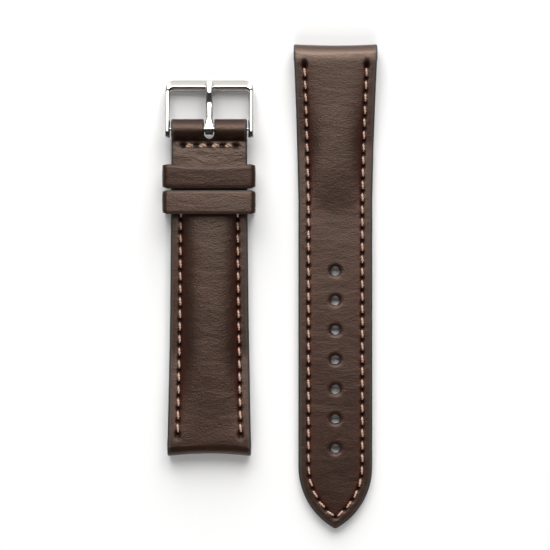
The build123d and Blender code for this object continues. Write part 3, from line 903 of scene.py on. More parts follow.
    def side_path(self) -> tuple[Array, Array, Array, Array, Array]:
        """Work out the rows of the upper from its turned-under end to its far end.

        Each row runs from a point of the inner face to one of the outer face. The
        outer face goes along the bed, round the lug circle, along the top and,
        on the short half, round the fold circle and back along the bed.

        Returns:
            Outer v and w, inner v and w, and where the outer face is the top.
        """
        turned = np.arange(self.turned_under, 0.0, -0.4)
        low = self.leather - self.play
        outer_v, outer_w = [turned], [np.zeros_like(turned)]
        inner_v, inner_w = [turned], [np.full_like(turned, low)]
        roll = np.radians(np.arange(-90.0, -270.0, -6.0))
        radius, inside = self.lug_radius, self.lug_radius - self.leather
        outer_v.append(radius * np.cos(roll))
        outer_w.append(radius + radius * np.sin(roll))
        inner_v.append(inside * np.cos(roll))
        inner_w.append(radius + inside * np.sin(roll))
        top = np.arange(0.0, self.end_row, self.pitch)
        if self.plan.tip_radius:
            top = self.plan.with_tip(top, 24)
        round_bore = np.radians(90.0 - 180.0 * np.clip(top / self.bore_run, 0.0, 1.0))
        catch_up = np.interp(top, [self.bore_run, self.level_from], [0.0, self.level_from])
        in_roll = top < self.bore_run
        outer_v.append(top)
        outer_w.append(self.edge_height(top))
        inner_v.append(np.where(in_roll, inside * np.cos(round_bore),
                                np.where(top < self.level_from, catch_up, top)))
        inner_w.append(np.where(in_roll, radius + inside * np.sin(round_bore),
                                self.leather + self.play))
        on_top = np.concatenate([np.zeros(len(turned) + len(roll)), np.ones(len(top))])
        if self.fold:
            for part, values in zip((outer_v, outer_w, inner_v, inner_w), self.fold_path()):
                part.append(values)
            on_top = np.concatenate([on_top, np.zeros(len(outer_v[-1]))])
        return (np.concatenate(outer_v), np.concatenate(outer_w), np.concatenate(inner_v),
                np.concatenate(inner_w), on_top)

    def fold_path(self) -> tuple[Array, Array, Array, Array]:
        """Work out the rows round the buckle's end: a hollow, the fold circle, the return.

        The hollow is a fillet that touches both the flange and the fold circle.

        Returns:
            Outer v and w, inner v and w.
        """
        r, fillet = self.fold_radius, self.fold_fillet
        lift = self.flange + fillet - r
        reach = math.sqrt((r + fillet) ** 2 - lift ** 2)
        angle = math.atan2(lift, -reach)
        dip = np.linspace(-math.pi / 2.0, angle - math.pi, 9)[1:]
        roll = np.linspace(angle, -math.pi / 2.0, 44)[1:]
        back = np.arange(self.fold - 0.25, self.returned_to, -0.35)
        outer_v = np.concatenate([self.fold - reach + fillet * np.cos(dip),
                                  self.fold + r * np.cos(roll), back])
        outer_w = np.concatenate([self.flange + fillet + fillet * np.sin(dip),
                                  r + r * np.sin(roll), np.zeros_like(back)])
        inside = r - self.leather
        climb = np.linspace(math.pi, math.pi * 0.9, len(dip))
        inner_roll = np.linspace(math.pi * 0.99, -math.pi / 2.0, len(roll))
        inner_v = np.concatenate([
            np.linspace(self.fold - reach, self.fold - inside, len(dip) + 1)[1:],
            self.fold + inside * np.cos(inner_roll), back])
        inner_w = np.concatenate([
            np.linspace(self.leather + self.play, r, len(dip) + 1)[1:] - 0.45 * np.sin(climb) ** 2,
            r + inside * np.sin(inner_roll), np.full_like(back, self.leather - self.play)])
        return outer_v, outer_w, inner_v, inner_w

    def columns(self) -> tuple[Array, Array]:
        """Return where the loop's points lie across, from -1 to 1, on both faces.

        They are closest at the edge, at the seam and beside the tongue's slot.

        Returns:
            Places on the outer face and on the inner face.
        """
        near = np.array([0.0, 0.015, 0.06, 0.14, 0.26, 0.42, 0.6, 0.8])
        seam = np.arange(1.0, 4.2, 0.2)
        middle = np.linspace(4.3, 9.0, 13 if not self.fold else 9)
        inset = np.concatenate([near, seam, middle])
        outer = 1.0 - inset / 9.0
        if self.fold:
            slot = np.array([1.62, 1.5, 1.42, 1.35, 1.3, 1.27, 1.24, 1.1]) / 9.05
            outer = np.concatenate([outer[outer > 1.75 / 9.05], slot,
                                    [0.8 / 9.05, 0.4 / 9.05, 0.0]])
        outer = np.concatenate([-outer, outer[-2::-1]])
        under = 1.0 - np.array([0.0, 0.05, 0.15, 0.3, 0.6, 1.5, 2.0, 2.4, 2.8, 3.4, 5.0, 7.0,
                                9.0]) / 9.0
        inner = np.concatenate([under, -under[-2::-1]])
        return outer, inner

    def build_upper(self) -> bpy.types.Object:
        """Build the padded upper as one closed shell carried along the side path.

        Each row spans the half's width. Where the outer face is the top it takes the
        padding's height, and every edge sinks towards the inner face as a quarter circle.

        Returns:
            The upper.
        """
        outer_v, outer_w, inner_v, inner_w, on_top = (x[:, None] for x in self.side_path())
        q_out, q_in = (q[None] for q in self.columns())
        last = self.plan.end if self.plan.tip_radius else self.fold + 9.0
        u = q_out * self.plan.half(np.clip(outer_v, 0.0, last))
        v = outer_v + np.zeros_like(u)
        top = self.height(u, np.clip(v, 0.0, last))
        w = np.where(on_top > 0.5, top, outer_w)
        lean_v, lean_w = outer_v - inner_v, outer_w - inner_w
        size = np.hypot(lean_v, lean_w)
        lean_v, lean_w = lean_v / size, lean_w / size
        inset = self.plan.inset(u, np.clip(v, 0.0, last))
        sink = rounding(np.maximum(inset, 0.0), self.edge_radius)
        under = (on_top < 0.5) & (outer_w < 0.01)
        groove = (self.sewn(v) * bell(inset - self.seam_inset, self.groove_width)
                  * self.groove_depth)
        sink = sink + np.where(under, groove, 0.0)
        if self.fold:
            sink = sink + np.where(v > self.slot_end - 2.0,
                                   rounding(np.maximum(self.slot_gap(u, v), 0.0),
                                            self.slot_radius), 0.0)
        v, w = v - lean_v * sink, w - lean_w * sink
        u_in = q_in * self.plan.half(np.clip(inner_v, 0.0, last))
        inner_inset = np.maximum(self.plan.inset(u_in, np.clip(inner_v, 0.0, last)), 0.0)
        lift = rounding(inner_inset, self.inner_radius)
        v_in, w_in = inner_v + lean_v * lift, inner_w + lean_w * lift
        bow = self.hollow * bell(np.maximum(v, 0.0), self.bow_reach)
        v = v + bow * (1.0 - q_out ** 2)
        bow_in = self.hollow * bell(np.maximum(v_in, 0.0), self.bow_reach)
        v_in = v_in + bow_in * (1.0 - q_in ** 2)
        points = np.concatenate([self.bed.world(u, v, w), self.bed.world(u_in, v_in, w_in)], axis=1)
        piece = closed_shell(f"{self.half.value}_padded_upper", points)
        self.punch(piece)
        self.mark(piece)
        return piece

    def build_lining(self) -> bpy.types.Object:
        """Build the lining as a closed slab under the upper, grooved where it is sewn.

        Returns:
            The lining.
        """
        start = self.turned_under + 0.1
        stop = self.plan.end if self.plan.tip_radius else self.returned_to - 0.1
        v = np.arange(start, stop, 0.4)
        v = self.plan.with_tip(v, 20) if self.plan.tip_radius else np.append(v, stop)
        v = v[:, None]
        q_top, q_low = (q[None] for q in self.columns())
        u_top, u_low = q_low * self.plan.half(v), q_top * self.plan.half(v)
        top = self.leather - 0.005 - rounding(np.maximum(self.plan.inset(u_top, v), 0.0),
                                              self.inner_radius)
        inset = self.plan.inset(u_low, v)
        low = rounding(np.maximum(inset, 0.0), self.edge_radius)
        low = low + (self.groove_depth * bell(inset - self.seam_inset, self.groove_width)
                     * self.sewn(v))
        points = np.concatenate([self.bed.world(u_low, v, low), self.bed.world(u_top, v, top)],
                                axis=1)
        piece = closed_shell(f"{self.half.value}_lining_leather", points)
        self.punch(piece)
        self.mark(piece)
        return piece

    def punch(self, piece: bpy.types.Object) -> None:
        """Cut the round holes and the tongue's slot out of a piece of this half.

        Args:
            piece: The upper or the lining.
        """
        turn = np.linspace(0.0, 2.0 * math.pi, 40, endpoint=False)[None]
        if self.dished:
            height = np.array([-2.0, 6.0])[:, None]
            tubes = [self.bed.world(hole_u + self.hole_radius * np.cos(turn),
                                    hole_v + self.hole_radius * np.sin(turn), height)
                     for hole_u, hole_v in self.dished]
            cut_away(piece, many_shells("punch", np.stack(tubes)))
        if self.fold and piece.name.endswith("upper"):
            r = self.slot_half
            end = np.linspace(0.0, math.pi, 25)
            u = np.concatenate([r * np.cos(end), [-r, r]])[None]
            v = np.concatenate([self.slot_end + r - r * np.sin(end), [self.fold + 6.0] * 2])[None]
            height = np.array([-2.0, 8.0])[:, None]
            cut_away(piece, closed_shell("slot", self.bed.world(u, v, height)), folded=True)

    def mark(self, piece: bpy.types.Object) -> None:
        """Note what the material needs to know at each vertex.

        That is where the edges are painted, where painted shade darkens the round holes
        and the slot, where the leather beside a seam takes a warmer, darker tone that is
        partly painted shade, where painted shade darkens an awl hole, and where the
        leather is worn or crumpled.

        Args:
            piece: The upper or the lining.
        """
        u, v, w = self.bed.local(places_of(piece))
        inset = self.plan.inset(u, np.clip(v, 0.0, None))
        painted = 1.0 - smooth(inset, 0.55, 0.85)
        # Painted shade: the walls of the round holes and of the slot's end take the dark edge
        # colour.
        for hole_u, hole_v in self.dished:
            in_hole = np.hypot(u - hole_u, v - hole_v) < self.hole_radius + 0.05
            painted = np.maximum(painted, in_hole)
        if self.fold:
            painted = np.maximum(painted, (self.slot_gap(u, v) < 0.04) & (v > self.slot_end - 0.2))
        # Painted shade: near-black in each awl hole's dimple on top, and at the holes where the
        # side seams start.
        awl_hole_shade = np.zeros_like(u)
        for seam in self.seams:
            awl_hole_shade = np.maximum(awl_hole_shade, (w > 1.0) * seam.dimples(u, v))
        # A warmer, darker tone just inside the side seams: partly painted shade of the padding's
        # side slopes.
        beside = bell(inset - self.seam_inset - 0.7, 0.8) * self.sewn(v) * 0.85
        beside = beside * (1.0 - smooth(v, self.side_end - 0.5, self.side_end + 0.5))
        note(piece, "painted", painted)
        note(piece, "seam", beside * (w > 1.0))
        awl_hole_shade = np.maximum(awl_hole_shade, 0.8 * (w > 1.0) * self.first_holes(u, v))
        note(piece, "awl_hole_shade", awl_hole_shade)
        note(piece, "worn", (1.0 - smooth(v, 0.2, 2.4)) * (w > 2.5) * (self.fold == 0.0))
        note(piece, "crumpled", bell(v - 70.2, 2.2) * (w > 1.0) * (self.fold > 0.0))


# Keepers


@dataclass
class Keeper:
    """A leather band looped round the strap, with rounded edges and an arched top."""

    name: str
    bed: Bed
    start: float
    stop: float
    low: float
    low_thickness: float
    bow: float
    half: float = 11.05
    shoulder: float = 6.6
    rise: float = 0.5
    thickness: float = 1.0
    top_corner: float = 1.2
    low_corner: float = 0.8
    edge: float = 0.16
    narrowing: float = 0.26
    lean: float = 0.0
    swell: float = 0.05
    edge_paint: float = 0.85
    loop_steps: int = 240

    def loop(self) -> tuple[Array, Array, Array, Array]:
        """Work out the outer line of the loop: straight runs and quarter circles.

        Returns:
            The line's u and w, and its outward direction, at even steps.
        """
        right, left = self.half, -self.half
        corners = [(right, self.low, self.low_corner, -90.0),
                   (right, self.shoulder, self.top_corner, 0.0),
                   (left, self.shoulder, self.top_corner, 90.0),
                   (left, self.low, self.low_corner, 180.0)]
        line = []
        for x, y, r, start in corners:
            turn = np.radians(np.linspace(start, start + 90.0, 12))
            level = y + (r if y == self.low else -r)
            line.append(np.stack([x - math.copysign(r, x) + r * np.cos(turn),
                                  level + r * np.sin(turn)], axis=1))
        points = np.concatenate(line + [line[0][:1]])
        reach = np.concatenate([[0.0], np.cumsum(np.hypot(*np.diff(points, axis=0).T))])
        even = np.linspace(0.0, reach[-1], self.loop_steps + 1)[:-1]
        u, w = np.interp(even, reach, points[:, 0]), np.interp(even, reach, points[:, 1])
        arch = 1.0 - (u / self.half) ** 2
        w = w + self.rise * arch * smooth(w, self.shoulder - 2.0, self.shoulder)
        du, dw = np.roll(u, -1) - np.roll(u, 1), np.roll(w, -1) - np.roll(w, 1)
        size = np.hypot(du, dw)
        return u, w, dw / size, -du / size

    def build(self) -> bpy.types.Object:
        """Carry an oblong section round the loop and close it into a ring.

        The points of the section's rounded corners run in reverse, so each corner folds
        over itself by one edge radius. That fault is left as it is.

        Returns:
            The keeper.
        """
        u, w, out_u, out_w = (x[:, None] for x in self.loop())
        r = self.edge
        turn = np.radians(np.linspace(0.0, 90.0, 5))
        corner = r * (1.0 - np.sin(turn))
        share = np.concatenate([np.zeros(5), np.linspace(0.08, 0.92, 11), np.ones(5)])
        depth = np.concatenate([corner[::-1], np.zeros(11), corner])
        start, stop = self.start, self.stop
        width = stop - start
        set_in = rounding(depth, r)
        along = np.where(share == 0.0, start + set_in,
                         np.where(share == 1.0, stop - set_in, start + share * width))
        along, depth = along[None], depth[None]
        thick = self.low_thickness + (self.thickness - self.low_thickness) * smooth(
            w, self.low + 0.2, self.low + 1.6)
        plump = self.swell * (1.0 - ((along - start) / width * 2.0 - 1.0) ** 2)
        outer_b, inner_b = -depth + plump, -thick + depth
        slim = self.narrowing * smooth(np.abs(u), self.half - 1.2, self.half - 0.1)
        along_mid = start + width / 2.0
        fit = 1.0 - 2.0 * slim / width
        on_top = smooth(w, self.shoulder - 1.5, self.shoulder)
        curve = -self.bow * smooth(along, along_mid, stop) * (1.0 - (u / self.half) ** 2) * on_top
        v = along_mid + (along - along_mid) * fit + curve
        w = w + self.lean * (along - along_mid) * on_top
        outer = self.bed.world(u + out_u * outer_b, v, w + out_w * outer_b)
        inner = self.bed.world(u + out_u * inner_b, v, w + out_w * inner_b)[:, ::-1]
        piece = closed_shell(self.name, np.concatenate([outer, inner], axis=1), ring=True)
        _, v_at, _ = self.bed.local(places_of(piece))
        edge = np.minimum(v_at - start, stop - v_at)
        note(piece, "painted", self.edge_paint * (1.0 - smooth(edge, 0.05, 0.22)))
        return piece


# Buckle


@dataclass
class Buckle:
    """A pin buckle: a frame bent to a U with eyes, and a tongue that lies on its front bar."""

    bed: Bed
    inner: float = 9.35
    outer: float = 10.65
    front: float = 12.0
    bar: float = 2.4
    eye: float = 2.15
    half_height: float = 1.3
    inner_corner: float = 0.9
    outer_corner: float = 2.6
    notch: float = 1.04
    notch_floor: float = 0.95
    pin_radius: float = 0.45
    arm_power: float = 3.2
    bar_power: float = 18.0
    bar_drop: float = 0.1
    bevel_lean: float = 0.3457  # of the bar's sloping face
    bevel_reach: float = 1.0718
    inner_bevel_reach: float = 1.263
    level_reach: float = 1.221
    tongue_half: float = 0.94
    tongue_eye: tuple[float, float, float] = (0.83, 1.4, 0.16)  # bore, radius, edge radius
    tongue_top: tuple[tuple[float, ...], tuple[float, ...]] = (
        (0.0, 0.5, 1.2, 2.0, 4.8, 5.5, 5.9, 9.0, 9.4, 10.2, 11.2, 11.85),
        (1.44, 1.49, 1.56, 1.52, 1.1, 1.0, 1.04, 2.12, 2.12, 1.92, 1.55, 1.2))
    tongue_low: tuple[tuple[float, ...], tuple[float, ...]] = (
        (0.3, 0.9, 1.6, 3.0, 5.0, 6.0, 9.0, 10.0, 10.9, 11.5, 11.85),
        (-0.9, -0.75, -0.35, -0.05, 0.05, 0.1, 0.95, 1.1, 1.1, 1.05, 1.05))

    def outline(self) -> tuple[Array, Array, Array, Array]:
        """Pair the points of the frame's inner and outer outlines in plan.

        Returns:
            Inner points, outer points, part of the way from arm to front bar, and
            distance in front of the bar's axis.
        """
        back = self.front - self.bar
        arm = np.concatenate([-self.eye * np.cos(np.radians(np.linspace(2.0, 90.0, 18))),
                              np.linspace(0.25, 1.0, 34) * (back - self.inner_corner)])
        inner_arm = np.stack([np.full_like(arm, -self.inner), arm], axis=1)
        stretch = (self.front - self.outer_corner) / (back - self.inner_corner)
        outer_y = np.where(arm > 0.0, arm * stretch, arm)
        outer_arm = np.stack([np.full_like(arm, -self.outer), outer_y], axis=1)
        turn = np.radians(np.linspace(180.0, 90.0, 18))[1:-1]
        ri, ro = self.inner_corner, self.outer_corner
        inner_turn = np.stack([-self.inner + ri + ri * np.cos(turn),
                               back - ri + ri * np.sin(turn)], axis=1)
        outer_turn = np.stack([-self.outer + ro + ro * np.cos(turn),
                               self.front - ro + ro * np.sin(turn)], axis=1)
        near = np.array([1.9, 1.6, 1.4, 1.27, 1.21, 1.17, 1.11, 0.95, 0.6, 0.2])
        front = np.concatenate([-np.linspace(self.inner - ri, 2.2, 20), -near])
        share = front / (self.inner - ri)
        inner_front = np.stack([front, np.full_like(front, back)], axis=1)
        outer_x = np.where(np.abs(share) > 0.35, share * (self.outer - ro), front)
        outer_front = np.stack([outer_x, np.full_like(front, self.front)], axis=1)
        blend = np.concatenate([np.zeros(len(arm)), np.linspace(0.0, 1.0, len(turn) + 2)[1:-1],
                                np.ones(len(front))])
        inner = np.concatenate([inner_arm, inner_turn, inner_front])
        outer = np.concatenate([outer_arm, outer_turn, outer_front])
        flip = np.array([-1.0, 1.0])
        inner = np.concatenate([inner, inner[::-1] * flip])
        outer = np.concatenate([outer, outer[::-1] * flip])
        blend = np.concatenate([blend, blend[::-1]])
        return inner, outer, blend, (inner[:, 1] + outer[:, 1]) / 2.0

    def arm_height(self, reach: Array) -> Array:
        """Return half the arm's height: the eye's circle, then a straight taper.

        Args:
            reach: Distance in front of the bar's axis.

        Returns:
            Half heights in mm.
        """
        circle = np.sqrt(np.maximum(self.eye ** 2 - np.minimum(reach, 0.2) ** 2, 0.0))
        taper = np.interp(reach, [0.183, 10.1], [2.142, self.half_height])
        return np.where(reach < 0.183, circle, taper)

    def build_frame(self) -> bpy.types.Object:
        """Carry a rounded polygon round the U, from a plain arm to the bevelled bar.

        The polygon's radius in direction e is the p-th mean of the distances of
        its sides: the sum of (n.e over d) to the p, to the power of minus 1 by p.

        Returns:
            The frame.
        """
        inner, outer, blend, reach = self.outline()
        half_w = np.hypot(*(outer - inner).T)[:, None] / 2.0
        blend = smooth(blend, 0.0, 1.0)[:, None]
        half_h = np.maximum(self.arm_height(reach), 0.03)[:, None]
        t = np.linspace(0.0, 2.0 * math.pi, 96, endpoint=False)[None]
        angle = np.arctan2(np.sin(t) * half_h, np.cos(t) * half_w)
        ex, ez = np.cos(angle), np.sin(angle)
        low = -self.bar_drop * blend
        lean = self.bevel_lean * blend
        cut = np.minimum(half_w, half_h)
        arm_bevel = (0.86 * cut + 0.62 * (half_h - cut)) * (1.0 - blend)
        sides = [(1.0, 0.0, half_w), (-1.0, 0.0, half_w), (0.0, -1.0, half_h + low),
                 (lean, np.sqrt(1.0 - lean ** 2),
                  half_h * (1.0 - blend) + self.bevel_reach * blend),
                 (-0.6247 - 0.1413 * blend, 0.7809 - 0.1379 * blend,
                  arm_bevel + self.inner_bevel_reach * blend),
                 (0.05, 0.9987, 4.0 * (1.0 - blend) + self.level_reach * blend),
                 (0.6247, 0.7809, arm_bevel + 3.0 * blend)]
        power = self.arm_power + (self.bar_power - self.arm_power) * blend
        total = np.zeros_like(ex)
        for nx, nz, d in sides:
            total = total + (np.maximum(nx * ex + nz * ez, 0.0) / d) ** power
        radius = total ** (-1.0 / power)
        x, z = radius * ex, radius * ez + low
        share = x / (2.0 * half_w) + 0.5
        plan = inner[:, None] + (outer - inner)[:, None] * share[..., None]
        in_notch = smooth(np.abs(plan[..., 0]), self.notch + 0.03, self.notch - 0.03) * blend
        z = z - np.maximum(z - self.notch_floor, 0.0) * in_notch
        piece = closed_shell("buckle_frame_polished",
                             self.bed.world(plan[..., 0], plan[..., 1], z),
                             sharp=STEEL_CRISP_ANGLE)
        hole = np.linspace(0.0, 2.0 * math.pi, 32, endpoint=False)[None]
        for sign in (-1.0, 1.0):
            deep = sign * np.array([self.inner - 0.6, self.inner + 0.9])[:, None]
            cut_away(piece, closed_shell("pin_hole", self.bed.world(
                deep, self.pin_radius * np.cos(hole), self.pin_radius * np.sin(hole))))
        u, y, z = self.bed.local(places_of(piece))
        back = self.front - self.bar
        face = smooth(y, back + 0.72, back + 0.84) * (
            1.0 - smooth(y, self.front - 0.2, self.front - 0.08))
        # The front bar's top face is brushed: rougher, and darker in colour as painted shade.
        note(piece, "satin", face * (z > 0.4) * smooth(self.outer - 1.2 - np.abs(u), -0.6, 0.4))
        return piece

    def build_tongue(self) -> bpy.types.Object:
        """Build the tongue: a round eye, and a body whose top swells and dips to its tip.

        The body's section is a superellipse, nearly square at the eye and nearly round
        further on. The eye and the body are two closed shells in one object.

        Returns:
            The tongue.
        """
        turn = np.linspace(0.0, 2.0 * math.pi, 64, endpoint=False)[:, None]
        r_in, r_out, soft = self.tongue_eye
        corner = np.radians(np.linspace(0.0, 90.0, 5))
        half, ring_x, ring_r = self.tongue_half, [], []
        for sx, r, sr in ((1, r_out, 1), (-1, r_out, 1), (-1, r_in, -1), (1, r_in, -1)):
            c = corner if sx * sr > 0 else corner[::-1]
            ring_x.append(sx * (half - soft) + sx * soft * np.cos(c))
            ring_r.append(r - sr * soft + sr * soft * np.sin(c))
        x, r = np.concatenate(ring_x)[None], np.concatenate(ring_r)[None]
        eye = self.bed.world(x, r * np.cos(turn), r * np.sin(turn))
        places = np.concatenate([np.linspace(-0.35, 1.2, 44), np.linspace(1.3, 11.2, 74),
                                 11.2 + 0.65 * np.sin(np.radians(np.linspace(6.0, 89.0, 16)))])
        top = ramp(self.tongue_top[1], self.tongue_top[0], places)
        low = ramp(self.tongue_low[1], self.tongue_low[0], places)
        crest = np.sqrt(np.maximum(r_out ** 2 - places ** 2, 0.0)) - 0.02
        top = crest + (top - crest) * smooth(places, -0.35, 0.5)
        wall = np.sqrt(np.maximum(1.15 ** 2 - places ** 2, 0.0))
        low = np.where(places < 0.86, np.maximum(wall, 0.2),
                       low + (0.3 - low) * (1.0 - smooth(places, 0.86, 1.12)))
        tip = np.sqrt(np.clip(1.0 - ((places - 11.1) / 0.76) ** 2, 0.0, 1.0))
        wide = half * np.where(places > 11.1, 0.35 + 0.65 * tip, 1.0) * (
            1.0 - 0.08 * smooth(places, 2.0, 10.0))
        around = np.linspace(0.0, 2.0 * math.pi, 40, endpoint=False)[None]
        power = 2.0 / (5.0 - 2.9 * smooth(places, 0.8, 2.6))[:, None]
        cx = np.sign(np.cos(around)) * np.abs(np.cos(around)) ** power
        cz = np.sign(np.sin(around)) * np.abs(np.sin(around)) ** power
        mid, tall = ((top + low) / 2.0)[:, None], ((top - low) / 2.0)[:, None]
        tall = tall * np.where(places > 11.2, np.maximum(tip, 0.25), 1.0)[:, None]
        body = self.bed.world(wide[:, None] * cx, places[:, None], mid + tall * cz)
        ring = closed_shell("tongue_eye", eye, ring=True)
        piece = closed_shell("buckle_tongue_polished", body)
        work = bmesh.new()
        work.from_mesh(piece.data)
        work.from_mesh(ring.data)
        work.to_mesh(piece.data)
        work.free()
        bpy.data.objects.remove(ring)
        return piece


# Studio


@dataclass
class Studio:
    """A white table, a broad light from the top of the picture, a fill, and a camera overhead."""

    height: float = 600.0
    field: float = 131.7
    middle: tuple[float, float] = (1.15, 2.75)
    table: float = 3.0  # in metres, half its side
    strap_height: float = 2.5  # the camera's field is measured this far over the table
    sensor: float = 36.0

    def build(self) -> None:
        """Put the floor, the lights, the surroundings and the camera in the scene."""
        corners = np.array([[-1.0, -1.0, 0.0], [1.0, -1.0, 0.0], [1.0, 1.0, 0.0], [-1.0, 1.0, 0.0]])
        floor = piece_from("white_table", self.table * corners, np.array([[0, 1, 2, 3]]))
        material, tree, shader = new_material("white_paper")
        feed(tree, shader, {"Base Color": linear("f7f6f5"), "Roughness": 0.9})
        floor.data.materials.append(material)
        self.light("key_softbox", (0.0, 0.84, 0.6), 1.1, 13.6, glossy=False)
        self.light("front_fill", (0.0, -0.88, 0.55), 1.0, 6.4, glossy=False)
        self.light("sheen_strip", (0.0, 0.1555, 0.3035), 0.236, 1.75, diffuse=False, wide=1.45)
        bpy.context.scene.world = self.surroundings()
        bpy.context.scene.view_settings.view_transform = "Standard"
        lens = bpy.data.cameras.new("overhead")
        lens.sensor_width = self.sensor
        lens.lens = self.sensor * (self.height - self.strap_height) / self.field
        lens.clip_start, lens.clip_end = 0.01, 10.0
        camera = bpy.data.objects.new("overhead", lens)
        camera.location = (self.middle[0] * MM, self.middle[1] * MM, self.height * MM)
        bpy.context.collection.objects.link(camera)
        bpy.context.scene.camera = camera

    def surroundings(self) -> bpy.types.World:
        """Build the room that the steel and the leather reflect.

        Its strength is that of the far wall and its window, times one smooth band
        each for what lies overhead, for what lies near the table and for the sides.

        Returns:
            The world.
        """
        world = bpy.data.worlds.new("studio")
        world.use_nodes = True
        tree = world.node_tree
        back = next(n for n in tree.nodes if n.type == "BACKGROUND")
        way = add_node(tree, "ShaderNodeTexCoord").outputs["Generated"]
        x, y, z = add_node(tree, "ShaderNodeSeparateXYZ", {0: way}).outputs
        aside = add_node(tree, "ShaderNodeMath", {0: x}, operation="ABSOLUTE").outputs[0]
        wall, window, overhead, table, sides = (
            add_node(tree, "ShaderNodeMapRange", {0: place, 1: low, 2: high, 3: first, 4: last},
                     interpolation_type="SMOOTHSTEP").outputs[0]
            for place, low, high, first, last in (
                (y, -0.6, 0.6, 0.08, 0.95), (y, 0.5, 0.8, 0.0, 1.6), (z, 0.62, 0.88, 1.0, 0.08),
                (z, 0.02, 0.32, 0.16, 1.0), (aside, 0.25, 0.65, 1.0, 0.4)))
        level = wall
        for part, operation in ((window, "ADD"), (overhead, "MULTIPLY"), (table, "MULTIPLY"),
                                (sides, "MULTIPLY")):
            level = add_node(tree, "ShaderNodeMath", {0: level, 1: part},
                             operation=operation).outputs[0]
        feed(tree, back, {"Strength": level, "Color": linear("fdfeff")})
        return world

    def light(self, name: str, place: tuple[float, float, float], size: float, power: float,
              diffuse: bool = True, glossy: bool = True, wide: float = 1.0) -> None:
        """Hang a softbox that faces the strap.

        Args:
            name: Name of the light.
            place: Where it hangs, in metres.
            size: Length of its upright sides.
            power: Its power in watts.
            diffuse: Whether it lights surfaces.
            glossy: Whether it shows as a sheen.
            wide: Its width as a multiple of its height.
        """
        data = bpy.data.lights.new(name, "AREA")
        data.shape, data.size, data.size_y, data.energy = "RECTANGLE", size * wide, size, power
        lamp = bpy.data.objects.new(name, data)
        lamp.location = place
        from_middle = np.array(place) / np.linalg.norm(place)
        lamp.rotation_euler = (math.acos(from_middle[2]), 0.0,
                               math.atan2(from_middle[1], from_middle[0]) + math.pi / 2.0)
        lamp.visible_diffuse, lamp.visible_glossy, lamp.visible_camera = diffuse, glossy, False
        bpy.context.collection.objects.link(lamp)


# The whole strap


